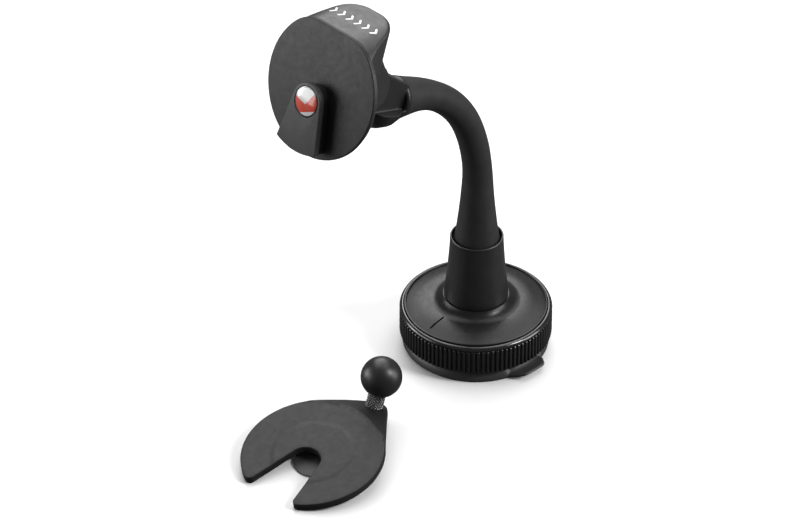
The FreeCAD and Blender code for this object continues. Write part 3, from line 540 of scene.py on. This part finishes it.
def badge_finish():
    """Printed dome: white, with a red chevron across it and a dark rim."""
    material = finish_of("badge_print", (0.8, 0.8, 0.8), 0.16, 900.0, 0.002, coat=1.0,
                         rough_range=0.03)
    tree = material.node_tree
    shader = tree.nodes["Principled BSDF"]
    across = local_axis(tree, "local", "Y")
    up = local_axis(tree, "local", "Z")
    slant = maths(tree, "MULTIPLY", maths(tree, "ABSOLUTE", across), 0.75)
    under = maths(tree, "SUBTRACT", slant, maths(tree, "ADD", up, 0.9))
    above = maths(tree, "ADD", up, 4.0)
    red = maths(tree, "MULTIPLY", step_mask(tree, under, 0.0, 0.5),
                step_mask(tree, above, 0.0, 0.2))
    shade = spread(tree, noise(tree, 300.0), 0.0, 1.0)
    paint = blended(tree, red, blended(tree, shade, (0.80, 0.80, 0.80), (0.9, 0.9, 0.9)),
                    blended(tree, shade, (0.62, 0.035, 0.015), (0.78, 0.07, 0.03)))
    out = maths(tree, "SQRT", maths(tree, "ADD", maths(tree, "MULTIPLY", across, across),
                                    maths(tree, "MULTIPLY", up, up)))
    rim = step_mask(tree, out, BADGE_R - 0.5, 0.15)
    tree.links.new(blended(tree, rim, paint, (0.02, 0.02, 0.02)), shader.inputs["Base Color"])
    return material


BLACK = (0.012, 0.012, 0.0125)

finishes = {
    "cup_rubber": finish_of("cup_rubber", (0.045, 0.045, 0.046), 0.45, 900.0, 0.015, specular=0.5),
    "frame_plastic": finish_of("frame_plastic", (0.03, 0.03, 0.032), 0.5, 1800.0, 0.02),
    "screw_steel": finish_of("screw_steel", (0.55, 0.55, 0.56), 0.3, 1500.0, 0.01, metallic=1.0),
    "ring_plastic": finish_of("ring_plastic", BLACK, 0.2, 1500.0, 0.006, specular=0.8),
    "stem_plastic": finish_of("stem_plastic", (0.5, 0.49, 0.46), 0.45, 1200.0, 0.01),
    # The cover's edges get a painted highlight in their colour.
    "cover_plastic": finish_of("cover_plastic", BLACK, 0.32, 3200.0, 0.02, specular=0.28,
                               edge_highlight=(0.52, 0.6, 1.8)),
    # The collar's edges get a painted highlight in their colour.
    "collar_plastic": finish_of("collar_plastic", (0.018, 0.018, 0.0185), 0.34, 3200.0, 0.014,
                                edge_highlight=(0.52, 0.6, 1.8)),
    "bush_plastic": finish_of("bush_plastic", (0.6, 0.58, 0.52), 0.4, 1200.0, 0.01),
    "arm_skin": finish_of("arm_skin", (0.028, 0.028, 0.0285), 0.5, 3600.0, 0.016, specular=0.28),
    "arm_plastic": finish_of("arm_plastic", (0.02, 0.02, 0.02), 0.5, 1800.0, 0.02),
    # The knuckle's edges get a painted highlight in their colour.
    "knuckle_plastic": finish_of("knuckle_plastic", BLACK, 0.42, 2600.0, 0.02,
                                 edge_highlight=(0.53, 0.62, 1.8)),
    "face_plastic": finish_of("face_plastic", BLACK, 0.5, 2200.0, 0.045, fine=(5200.0, 0.02)),
    # The lug's finish is the face's black painted lighter, as painted light: the lug catches more
    # light than the shaded face around it.
    "lug_painted_light": finish_of("lug_painted_light", (0.04, 0.04, 0.041), 0.45, 2600.0, 0.03,
                             fine=(5200.0, 0.015)),
    "housing_plastic": finish_of("housing_plastic", (0.026, 0.026, 0.027), 0.42, 3600.0, 0.016),
    "badge_dome": badge_finish(),
    "nut_brass": finish_of("nut_brass", (0.62, 0.45, 0.2), 0.35, 1500.0, 0.01, metallic=1.0),
    "washer_nylon": finish_of("washer_nylon", (0.65, 0.64, 0.6), 0.45, 1500.0, 0.01),
    "plate_plastic": finish_of("plate_plastic", (0.015, 0.015, 0.0155), 0.5, 2200.0, 0.04,
                               specular=0.34, fine=(5200.0, 0.02)),
    "catch_steel": finish_of("catch_steel", (0.07, 0.07, 0.07), 0.45, 1500.0, 0.012),
    # The stud's edges and knurl crests get a painted highlight in their colour.
    "stud_steel": finish_of("stud_steel", (0.09, 0.09, 0.09), 0.28, 3000.0, 0.02, metallic=0.9,
                            edge_highlight=(0.5, 0.56, 3.5)),
    "ball_rubber": finish_of("ball_rubber", (0.016, 0.016, 0.0165), 0.38, 3200.0, 0.012),
    "print_white": finish_of("print_white", (0.85, 0.85, 0.85), 0.4, 2500.0, 0.006, mottle=0.04),
}


# ---- base ---------------------------------------------------------------------------------

def tab_edge(angle):
    """The cup's outer radius: the lip's circle, and the pull tab on one side."""
    off = (angle - TAB_AZIMUTH + math.pi) % (2 * math.pi) - math.pi
    if abs(off) > math.radians(40):
        return CUP_R
    a, b, c = TAB_SIDE
    side = c / (a * math.cos(off) + b * abs(math.sin(off)))
    tip = TAB_REACH / math.cos(off)
    return -soft_min(-CUP_R, -soft_min(side, tip, 1.6), 0.8)


def cup_profile(angle):
    """The cup's section: the lip thins and curls up where the pull tab is."""
    edge = tab_edge(angle)
    tab = ease(0.0, 1.8, edge - CUP_R)

    def under(radius):
        return 0.3 * tab + 2.3 * (max(radius - 28.0, 0.0) / 8.0) ** 2

    # (plain radius, plain height, share of the way to the tab's edge, height above its underside)
    lip = [
        (LIP_START, CUP_TOP, 0.0, None), (28.85, 4.25, 0.08, 3.3), (29.45, 3.65, 0.18, 2.5),
        (29.85, 3.0, 0.32, 1.8), (30.15, 2.3, 0.48, TAB_THICK), (30.35, 1.6, 0.7, TAB_THICK),
        (30.47, 1.0, 0.9, TAB_THICK), (30.5, 0.75, 0.97, TAB_THICK - 0.15), (30.5, 0.5, 1.0, 0.75),
        (30.44, 0.25, 0.97, 0.15), (30.28, 0.06, 0.9, 0.0), (30.0, 0.0, 0.5, 0.0)]
    section = []
    for radius, level, share, above in lip:
        if above is None:
            section.append((radius, level))
            continue
        far = LIP_START + share * (edge - LIP_START)
        mixed = radius + (far - radius) * tab
        section.append((mixed, level + (under(far) + above - level) * tab))
    roof = [(CUP_SEAL_R * k / 8, cap_height(CUP_SEAL_R, CUP_CAVITY, CUP_SEAL_R * k / 8))
            for k in range(8, -1, -1)]
    boss = [(0, DISC_HOLE_BOTTOM), (DISC_HOLE_R, DISC_HOLE_BOTTOM), (DISC_HOLE_R, DISC_HOLE_TOP),
            (STEM_HOLE_R, DISC_HOLE_TOP), (STEM_HOLE_R, CUP_BOSS_TOP),
            (CUP_BOSS_R - 0.4, CUP_BOSS_TOP),
            (CUP_BOSS_R, CUP_BOSS_TOP - 0.4), (CUP_BOSS_R, CUP_TOP + 0.9),
            (CUP_BOSS_R + 0.3, CUP_TOP + 0.3), (CUP_BOSS_R + 0.9, CUP_TOP), (27.6, CUP_TOP)]
    return boss + section + roof


def rib_share(angle):
    """How high a rib stands at that angle: 1 on its crest and 0 in the hollow beside it."""
    from_hollow = abs(angle * RIB_COUNT / (2 * math.pi) % 1 - 0.5) * 2
    return ease(0.18, 0.62, from_hollow) * (1 - 0.22 * (1 - from_hollow) ** 2)


def ring_profile(angle):
    root = RING_R - RIB_DEPTH
    crest = RIB_DEPTH * rib_share(angle)
    low, high = RING_BOTTOM + 0.2, RIB_TOP
    ribs = []
    for k in range(9):
        turn = math.pi / 2 * k / 8
        ribs.append((root + crest * math.sin(turn), low + RIB_END * (1 - math.cos(turn))))
    for k in range(8, -1, -1):
        turn = math.pi / 2 * k / 8
        ribs.append((root + crest * math.sin(turn), high - RIB_END * (1 - math.cos(turn))))
    band = [(root, high + 0.16), (RING_R - 0.35, high + 0.24), (RING_R - 0.1, high + 0.34),
            (RING_R, high + 0.6), (RING_R - 0.06, high + 0.95), (RING_R - 0.25, high + 1.35),
            (RING_R - 0.6, high + 1.7), (RING_R - 1.0, high + 1.92), (RING_R - 1.3, RING_TOP),
            (COVER_R + 0.42, RING_TOP), (COVER_R + 0.3, RING_TOP - 0.12)]
    inside = [(COVER_R + 0.3, 16.0), (RING_INNER_R, 15.4), (RING_INNER_R, WEB_TOP),
              (SLEEVE_R, WEB_TOP), (SLEEVE_R, SLEEVE_TOP), (SLEEVE_INNER_R, SLEEVE_TOP),
              (SLEEVE_INNER_R, WEB_BOTTOM), (RING_INNER_R, WEB_BOTTOM), (RING_INNER_R, RING_BOTTOM),
              (root - 0.3, RING_BOTTOM)]
    return ribs + band + inside


def cover_height(radius):
    """Height of the cover's nearly flat stretch."""
    (outer, low), (inner, high) = COVER_FLAT
    return low + (outer - radius) * (high - low) / (outer - inner)


def base_cover():
    edge, flat = COVER_FLAT
    throat, lip = (15.6, 21.5), (13.7, COVER_TOP)
    profile = rounded([(COVER_R, 16.3, 0.2), (COVER_R, 18.75, 0.6), edge + (0.5,)], 6)
    profile += [Vector((24.0, cover_height(24.0))), Vector(flat)] + through(flat, throat, lip, 10)
    profile += rounded([lip, (COVER_HOLE_R, COVER_TOP), (COVER_HOLE_R, HUB_TOP + 0.05),
                        (13.6, HUB_TOP + 0.05), (15.0, 19.8), (19.5, 18.6), (28.0, 17.2),
                        (28.0, 16.3)])
    cover = turned("base_cover_shell", lambda angle: profile, 240)
    half = MARK_WIDTH / 2
    bar = rounded([(-half, -MARK_TO, half), (half, -MARK_TO, half), (half, -MARK_FROM, half),
                   (-half, -MARK_FROM, half)], 6)
    low = cover_height(MARK_TO) - MARK_DEPTH

    def rise(a, b):
        return cover_height(-b) - cover_height(MARK_TO)

    tool = slab("mark_tool", bar, [(0.12, low), (0.0, low + 0.12), (0.0, low + 3)], ROW,
                height=rise)
    return combine(cover, [tool], "DIFFERENCE")


def arm_collar():
    foot, waist, top = (COLLAR_FOOT_R, 24.6), (COLLAR_WAIST_R, 39.0), (COLLAR_TOP_R, 51.9)
    profile = [Vector(foot)] + through(foot, waist, top, 14) + [Vector(top)]
    profile += rounded([(COLLAR_TOP_R, COLLAR_TOP, 0.4), (10.35, COLLAR_TOP, 0.2), (10.3, 49.0),
                        (COLLAR_BORE_R, 49.0), (COLLAR_BORE_R, COLLAR_FLOOR_TOP),
                        (COLLAR_STUB_R, COLLAR_FLOOR_TOP), (COLLAR_STUB_R, COLLAR_FLOOR),
                        (COLLAR_CAVITY_R, COLLAR_FLOOR), (COLLAR_CAVITY_R, COLLAR_BOTTOM),
                        (COLLAR_FOOT_R, COLLAR_BOTTOM, 0.5)])
    return turned("arm_collar_shell", lambda angle: profile, 192)


# ---- arm ----------------------------------------------------------------------------------

def arm_length():
    return (BEND_START - ARM_FOOT + WIDE_BEND_R * WIDE_BEND
            + TIGHT_BEND_R * (ARM_END - WIDE_BEND) + STRAIGHT)


def arm_centre(distance):
    """Point on the arm's centreline that far from its foot, and its lean from the vertical."""
    if distance <= BEND_START - ARM_FOOT:
        return Vector((0, 0, ARM_FOOT + distance)), 0.0
    distance -= BEND_START - ARM_FOOT
    lean = min(distance / WIDE_BEND_R, WIDE_BEND)
    point = Vector((WIDE_BEND_R * (1 - math.cos(lean)), 0,
                    BEND_START + WIDE_BEND_R * math.sin(lean)))
    distance -= WIDE_BEND_R * lean
    if lean >= WIDE_BEND:
        lean = min(WIDE_BEND + distance / TIGHT_BEND_R, ARM_END)
        point.x += TIGHT_BEND_R * (math.cos(WIDE_BEND) - math.cos(lean))
        point.z += TIGHT_BEND_R * (math.sin(lean) - math.sin(WIDE_BEND))
        distance -= TIGHT_BEND_R * (lean - WIDE_BEND)
    return point + Vector((math.sin(lean), 0, math.cos(lean))) * max(distance, 0.0), lean


def arm_radius(distance):
    foot = max(0.0, 1 - distance / FOOT_FLARE)
    end = max(0.0, 1 - (arm_length() - distance) / END_FLARE)
    return (ARM_WAIST_R + (ARM_FOOT_R - ARM_WAIST_R) * foot ** 1.7
            + (ARM_END_R - ARM_WAIST_R) * end ** 1.85)


def arm_sleeve():
    """The arm's skin, with its inside, so that it is a real tube."""
    around, along, rim = 96, 150, 0.35
    length = arm_length()
    stations = [(length * k / along, 0.0) for k in range(along + 1)]
    stations[0] = (rim, 0.0)
    stations[-1] = (length - rim, 0.0)
    stations = [(0.0, rim)] + stations + [(length, rim)]
    stations += [(length * k / 40, SLEEVE_THICK) for k in range(40, -1, -1)]
    points, faces = [], []
    for distance, depth in stations:
        centre, lean = arm_centre(distance)
        radius = arm_radius(distance) - depth
        outward = Vector((math.cos(lean), 0, -math.sin(lean)))
        for i in range(around):
            angle = 2 * math.pi * i / around
            spoke = outward * math.cos(angle) + Vector((0, math.sin(angle), 0))
            points.append(centre + spoke * radius)
    for k in range(len(stations)):
        here, there = k * around, (k + 1) % len(stations) * around
        for i in range(around):
            j = (i + 1) % around
            faces.append((here + i, here + j, there + j, there + i))
    return new_object("arm_skin_tube", points, faces, ARM)


# ---- head ---------------------------------------------------------------------------------

def face_outline(radius, top, steps=150):
    """A circle with a flat top and a soft shoulder each side, counterclockwise as (y, z)."""
    bend = (top - radius * math.sin(SHOULDER)) / (1 - math.sin(SHOULDER))
    flat = (radius - bend) * math.cos(SHOULDER)
    corner = Vector((radius * math.cos(SHOULDER), radius * math.sin(SHOULDER)))
    right = swing(corner, (flat, top), (flat, top - bend), 20)
    left = [Vector((-p.x, p.y)) for p in reversed(right)]
    sweep = math.pi + 2 * SHOULDER
    round_part = [turn_2d(left[-1], sweep * k / steps) for k in range(1, steps)]
    return right + left + round_part


def lug_outline(radius, bottom_radius):
    """A wedge with a round top: its sides spread by the lug's half angle."""
    side = Vector((radius * math.cos(LUG_HALF_ANGLE),
                   LUG_CENTRE + radius * math.sin(LUG_HALF_ANGLE)))
    slope = math.tan(LUG_HALF_ANGLE)
    a = 1 + slope ** 2
    b = -2 * slope * (side.x + side.y * slope)
    c = (side.x + side.y * slope) ** 2 - bottom_radius ** 2
    low = (-b - math.sqrt(b * b - 4 * a * c)) / (2 * a)
    foot = Vector((side.x + (side.y - low) * slope, low))
    top = swing(side, (0, LUG_CENTRE + radius), (0, LUG_CENTRE), 18)
    top += [Vector((-p.x, p.y)) for p in reversed(top[:-1])]
    bottom = swing((-foot.x, foot.y), foot, (0, 0), 30)
    return top + bottom


def off_face(a, b, c):
    """Takes an outline on the face, and a height off it, to the head's frame."""
    return (c, a, b)


def raised(obj):
    """Gives the lug's faces the second material, a lighter copy of the face's finish that paints in
    the light on the lug, and the rest the first.
    """
    back = HEAD.inverted()
    for polygon in obj.data.polygons:
        polygon.material_index = int((back @ polygon.center).x > LUG_NECK_LENGTH - 0.2)


def face_plate():
    rim = slab("face_plate_shell", face_outline(FACE_R, FACE_TOP),
               soft_edges(-FACE_RIM, 0, 0.15, 0.5, 5), HEAD, off_face)
    back = slab("back", face_outline(FACE_BACK_R, FACE_TOP - 3.4),
                soft_edges(-FACE_THICK, -0.7, 0.3, 0.1), HEAD, off_face)
    neck = slab("neck", lug_outline(LUG_NECK_R, LUG_BOTTOM_R - 0.8),
                [(0.0, -0.4), (0.0, LUG_NECK_LENGTH + 0.6)], HEAD, off_face)
    flange = slab("flange", lug_outline(LUG_R, LUG_BOTTOM_R),
                  soft_edges(LUG_NECK_LENGTH, LUG_HEIGHT, 0.15, 0.4), HEAD, off_face)
    combine(rim, [back, neck, flange], "UNION")
    around = [turn_2d(Vector((BADGE_R + 0.1, 0)), 2 * math.pi * k / 64) + Vector((0, LUG_CENTRE))
              for k in range(64)]
    recess = slab("recess", around, [(0.0, LUG_HEIGHT - BADGE_DEPTH), (0.0, LUG_HEIGHT - 0.15),
                                     (-0.2, LUG_HEIGHT + 0.05), (-0.2, LUG_HEIGHT + 2)],
                  HEAD, off_face)
    return combine(rim, [recess], "DIFFERENCE")


def badge():
    """A domed disc, with its own position stored for the print on it."""
    base = LUG_HEIGHT - BADGE_DEPTH
    edge = LUG_HEIGHT - 0.1
    profile = [(0, base), (BADGE_R - 0.1, base), (BADGE_R, base + 0.1), (BADGE_R, edge - 0.15),
               (BADGE_R - 0.05, edge)]
    profile += [(at, edge + cap_height(BADGE_R, BADGE_DOME + 0.1, at))
                for at in [(BADGE_R - 0.2) * k / 12 for k in range(12, -1, -1)]]
    middle = HEAD @ Matrix.Translation((0, 0, LUG_CENTRE))
    out = Matrix.Rotation(math.radians(90), 4, "Y")
    obj = turned("badge_disc", lambda angle: profile, 96, middle @ out)
    back = (middle @ Matrix.Rotation(PRINT_TURN, 4, "X")).inverted()
    stored = obj.data.attributes.new("local", "FLOAT_VECTOR", "POINT")
    for vertex, item in zip(obj.data.vertices, stored.data):
        item.vector = back @ vertex.co
    return obj


def hood_point(across, back, proud):
    """Point above the hood's roof: along its arc, behind the face, and off its surface."""
    radius, top = FACE_R - 0.3, FACE_TOP - 0.25
    bend = (top - radius * math.sin(SHOULDER)) / (1 - math.sin(SHOULDER))
    flat = (radius - bend) * math.cos(SHOULDER)
    turn = max(0.0, abs(across) - flat) / bend
    out = bend + proud
    y = min(abs(across), flat) + out * math.sin(turn)
    z = top - bend + out * math.cos(turn) + HOOD_SLOPE * (back - 1.5)
    return (-back, math.copysign(y, across), z)


def hood_marks():
    """Plain chevrons printed in a row across the hood."""
    marks = []
    near, far = CHEVRON_BACK - CHEVRON_DEPTH / 2, CHEVRON_BACK + CHEVRON_DEPTH / 2
    for k in range(CHEVRON_COUNT):
        at = (k - (CHEVRON_COUNT - 1) / 2) * CHEVRON_PITCH
        start = at - CHEVRON_LEAN
        corners = [(start, near), (start + CHEVRON_WIDTH, near),
                   (at + CHEVRON_WIDTH, CHEVRON_BACK), (start + CHEVRON_WIDTH, far),
                   (start, far), (at, CHEVRON_BACK)]
        outline = rounded([corner + (0.25,) for corner in corners], 3)
        marks.append(slab(f"mark_{k}", outline, [(0.0, -0.25), (0.0, 0.06), (0.06, 0.1)], HEAD,
                          hood_point, spacing=0.6))
    return combine(marks[0], marks[1:], "UNION")


# ---- docking plate ------------------------------------------------------------------------

def plate_outline():
    """Counterclockwise from above: the round edge, the tab at the back, and the notch."""
    slope = math.tan(NOTCH_HALF_ANGLE)
    mouth = NOTCH_CENTRE - NOTCH_R * math.sin(NOTCH_HALF_ANGLE)

    def half_width(x):
        return NOTCH_R * math.cos(NOTCH_HALF_ANGLE) + (x - mouth) * slope

    square = 1 + slope ** 2
    reach = PLATE_R - TIP_ROUND
    offset = half_width(0) + TIP_ROUND * math.hypot(1, slope)
    x = (math.sqrt(square * reach ** 2 - offset ** 2) - offset * slope) / square
    tip = Vector((x, offset + x * slope))
    on_rim = tip.normalized() * PLATE_R
    on_side = tip + Vector((slope, -1)).normalized() * TIP_ROUND
    turn = math.acos((PLATE_R - TAB_END_R) / STUD_AT)
    leave = Vector((-PLATE_R * math.cos(turn), PLATE_R * math.sin(turn)))
    end = Vector((-STUD_AT - TAB_END_R * math.cos(turn), TAB_END_R * math.sin(turn)))
    upper = swing(on_side, on_rim, tip, 10)
    upper += swing(on_rim, leave, (0, 0), 70)[1:]
    upper += [leave.lerp(end, k / 8) for k in range(1, 8)]
    upper += swing(end, (-STUD_AT - TAB_END_R, 0), (-STUD_AT, 0), 14)
    lower = [Vector((p.x, -p.y)) for p in reversed(upper[:-1])]
    foot = Vector((mouth, -half_width(mouth)))
    side = [lower[-1].lerp(foot, k / 14) for k in range(1, 14)]
    throat = swing(foot, (NOTCH_CENTRE - NOTCH_R, 0), (NOTCH_CENTRE, 0), 16)
    throat += [Vector((p.x, -p.y)) for p in reversed(throat[:-1])]
    back = [Vector((p.x, -p.y)) for p in reversed(side)]
    return upper + lower + side + throat + back, turn


def fold_radius(angle, tangent):
    """Where the tab starts to fall: it meets the plate's edge where the tab's sides leave it."""
    return TAB_FOLD_R + (PLATE_R - TAB_FOLD_R) * ease(0.45 * tangent, tangent, angle)


def plate_drop(x, y, tangent):
    """The tab falls away from the plate's round edge."""
    radius = math.hypot(x, y)
    angle = math.atan2(abs(y), -x)
    if angle >= tangent or x > 0:
        return 0.0
    past = max(0.0, radius - fold_radius(angle, tangent))
    rounding = 0.5
    if past < rounding:
        return -past ** 2 / (2 * rounding) * math.tan(TAB_SLOPE)
    return -(past - rounding / 2) * math.tan(TAB_SLOPE)


def dock_plate():
    outline, tangent = plate_outline()

    def drop(x, y):
        low = plate_drop(x, y, tangent)
        if low < 0:
            return low
        return -STEP_DEPTH * ease(STEP_R - 0.2, STEP_R + 0.2, math.hypot(x, y))

    loops = []
    gap = math.asin(8.4 / STEP_R) + 0.06
    for radius in (STEP_R - 0.22, STEP_R + 0.22):
        span = 2 * (math.pi - gap)
        loops.append([turn_2d(Vector((radius, 0)), gap + span * k / 120) for k in range(121)])
    for past in (0.0, 0.25, 0.5):
        angles = [tangent * 0.86 * k / 16 for k in range(-16, 17)]
        loops.append([Vector((-math.cos(a), math.sin(a))) * (fold_radius(abs(a), tangent) + past)
                      for a in angles])
    plate = slab("dock_plate_body", outline, soft_edges(-PLATE_THICK, 0, 0.3, 0.35, 4), PLATE,
                 height=drop, loops=loops, spacing=1.4)
    chord = math.acos((CATCH_CENTRE - CATCH_LAND) / CATCH_R)
    centre, spoke = Vector((CATCH_CENTRE, 0)), Vector((CATCH_R, 0))
    land_edge = [centre - turn_2d(spoke, chord - 2 * chord * k / 40) for k in range(40, -1, -1)]
    land = slab("land", land_edge,
                [(0.0, -PLATE_THICK - CATCH_GAP), (0.0, -PLATE_THICK + 0.5)], PLATE)
    return combine(plate, [land], "UNION")


def catch_plate():
    around = [turn_2d(Vector((CATCH_R, 0)), 2 * math.pi * k / 96) + Vector((CATCH_CENTRE, 0))
              for k in range(96)]
    bottom = -PLATE_THICK - CATCH_GAP - CATCH_THICK
    layers = soft_edges(bottom, bottom + CATCH_THICK, 0.15, 0.25, 3)
    return slab("catch_disc", around, layers, PLATE)


def stud_place():
    """The stud's frame: z along its axis, origin on the tab's top."""
    fall = -(STUD_AT - TAB_FOLD_R) * math.tan(TAB_SLOPE)
    return (PLATE @ Matrix.Translation((-STUD_AT, 0, fall))
            @ Matrix.Rotation(-TAB_SLOPE, 4, "Y"))


def knurled(angle, level):
    """Depth of a diamond knurl's grooves."""
    one = abs(math.sin(KNURL_TURNS / 2 * (angle + KNURL_TWIST * level / STUD_NECK_R)))
    other = abs(math.sin(KNURL_TURNS / 2 * (angle - KNURL_TWIST * level / STUD_NECK_R)))
    return KNURL_DEPTH * (1 - min(one, other) ** 0.7)


def stud_profile(angle):
    top = BALL_RISE - 4.0
    levels = [0.4 + (top - 0.8) * k / 44 for k in range(45)]
    neck = [(STUD_NECK_R - 0.3, 0.02), (STUD_NECK_R, 0.3)]
    neck += [(STUD_NECK_R - knurled(angle, level), level) for level in levels]
    neck += [(STUD_NECK_R, top - 0.3), (STUD_NECK_R - 0.3, top)]
    head = [(STUD_SHANK_R, top), (STUD_SHANK_R, BALL_RISE + 1.8),
            (STUD_SHANK_R - 0.2, BALL_RISE + 2.0)]
    foot = [(0, BALL_RISE + 2.0), (0, -PLATE_THICK - 3.0), (STUD_SHANK_R - 0.3, -PLATE_THICK - 3.0),
            (STUD_SHANK_R, -PLATE_THICK - 2.7), (STUD_SHANK_R, 0.02)]
    return neck + head + foot


def ball_profile():
    """The ball, with the bore that takes the stud."""
    mouth = math.asin((STUD_NECK_R + 0.25) / BALL_R)
    angles = [mouth + (math.pi - mouth) * k / 72 for k in range(73)]
    outer = [(BALL_R * math.sin(a), BALL_RISE - BALL_R * math.cos(a)) for a in angles]
    lip = [(STUD_NECK_R + 0.04, BALL_RISE - BALL_R * math.cos(mouth) + 0.3)]
    bore = [(0, BALL_RISE + 2.04), (STUD_SHANK_R + 0.02, BALL_RISE + 2.04),
            (STUD_SHANK_R + 0.02, BALL_RISE - 3.96), (STUD_NECK_R + 0.02, BALL_RISE - 3.96)]
    return outer + bore + lip


# ---- pieces -------------------------------------------------------------------------------

dress(turned("suction_cup_skin", cup_profile, 360), "base", ["suction_cup"],
      [finishes["cup_rubber"]])
dress(turned("lock_ring_ribbed", ring_profile, RIB_COUNT * RIB_COLUMNS), "lock_ring", ["lock_ring"],
      [finishes["ring_plastic"]], math.radians(60))
dress(base_cover(), "base", ["base_cover"], [finishes["cover_plastic"]])
dress(arm_collar(), "base", ["arm_collar"], [finishes["collar_plastic"]])
dress(arm_sleeve(), "arm", ["arm_sleeve"], [finishes["arm_skin"]])
dress(softened("tilt_knuckle_moulded", "tilt_knuckle", 0.28, 4), "arm", ["tilt_knuckle"],
      [finishes["knuckle_plastic"]])
face = face_plate()
dress(face, "head", ["face_plate"],
      [finishes["face_plastic"], finishes["lug_painted_light"]])
raised(face)
dress(badge(), "head", ["badge"], [finishes["badge_dome"]])
dress(softened("head_housing_moulded", "head_housing", 0.33, 4), "head", ["head_housing"],
      [finishes["housing_plastic"]])
dress(hood_marks(), "head", [], [finishes["print_white"]])
dress(dock_plate(), "dock", ["dock_plate"], [finishes["plate_plastic"]])
dress(catch_plate(), "dock", ["catch_plate"], [finishes["catch_steel"]])
dress(turned("ball_stud_knurled", stud_profile, 240, stud_place()), "dock", ["ball_stud"],
      [finishes["stud_steel"]])
dress(turned("ball_skin", lambda angle: ball_profile(), 144, stud_place()), "dock", ["ball_cover"],
      [finishes["ball_rubber"]])

# Pieces inside the others keep their CAD meshes and only get a finish.
HIDDEN = {
    "base_frame": "frame_plastic", "base_screws": "screw_steel", "lift_stem": "stem_plastic",
    "cam_pin": "screw_steel", "swivel_bush": "bush_plastic", "arm_core": "arm_plastic",
    "swivel_washer": "washer_nylon", "swivel_screw": "screw_steel", "head_screws": "screw_steel",
    "tilt_screw": "screw_steel", "tilt_nut": "nut_brass", "tilt_washers": "washer_nylon",
    "catch_screws": "screw_steel", "stud_nut": "stud_steel"}
for node, finish in HIDDEN.items():
    mesh = frame["nodes"][node].data
    mesh.materials.clear()
    mesh.materials.append(finishes[finish])


# ---- stage --------------------------------------------------------------------------------

def soft_box(name, place, aim, size, power):
    data = bpy.data.lights.new(name, "AREA")
    data.shape = "RECTANGLE"
    data.size, data.size_y = size
    data.energy = power
    light = bpy.data.objects.new(name, data)
    light.location = place
    light.rotation_euler = (Vector(aim) - Vector(place)).to_track_quat("-Z", "Y").to_euler()
    bpy.context.scene.collection.objects.link(light)


reach = 4.0
floor = new_object("floor", [(-reach, -reach, 0), (reach, -reach, 0), (reach, reach, 0),
                             (-reach, reach, 0)],
                   [(0, 1, 2, 3)], Matrix.Translation((0, 0, -0.0002)))
floor_finish = finish_of("floor", (0.86, 0.86, 0.86), 0.6, 60.0, 0.01, mottle=0.01, specular=0.2)
floor.data.materials.append(floor_finish)
# The stage is white to the camera, and grey in the object's reflections, as with black cards.
floor_tree = floor_finish.node_tree
seen = floor_tree.nodes.new("ShaderNodeLightPath").outputs["Is Camera Ray"]
floor_tint = blended(floor_tree, seen, (0.09, 0.09, 0.09), (0.97, 0.97, 0.97))
floor_tree.links.new(floor_tint, floor_tree.nodes["Principled BSDF"].inputs["Base Color"])

middle = (cad_box[0] + cad_box[1]) / 2
soft_box("key", (-0.5, 0.5, 1.5), middle, (1.7, 1.7), 24)
soft_box("back", (-1.15, 0.95, 0.98), middle, (0.9, 0.6), 8)
soft_box("right", (1.0, 0.45, 1.0), middle, (0.3, 0.5), 11)
soft_box("tall right", (1.05, 0.85, 0.45), middle, (0.6, 0.8), 9)
soft_box("low left", (-1.1, -0.75, 0.3), middle, (0.4, 0.6), 5)
soft_box("front left", (-0.9, -1.3, 0.4), middle, (0.9, 0.7), 7)
world = bpy.data.worlds.new("studio")
world.use_nodes = True
world.node_tree.nodes["Background"].inputs["Color"].default_value = (1, 1, 1, 1)
world.node_tree.nodes["Background"].inputs["Strength"].default_value = 0.12
bpy.context.scene.world = world
bpy.context.scene.view_settings.view_transform = "Standard"

camera_data = bpy.data.cameras.new("camera")
camera_data.sensor_width = 36.0
camera_data.lens = 205.3
camera_data.clip_end = 20.0
camera = bpy.data.objects.new("camera", camera_data)
camera.location = (1.0452, -1.0653, 1.1361)
camera.rotation_euler = (math.radians(53.7), 0.0, math.radians(45.75))
bpy.context.scene.collection.objects.link(camera)
bpy.context.scene.camera = camera
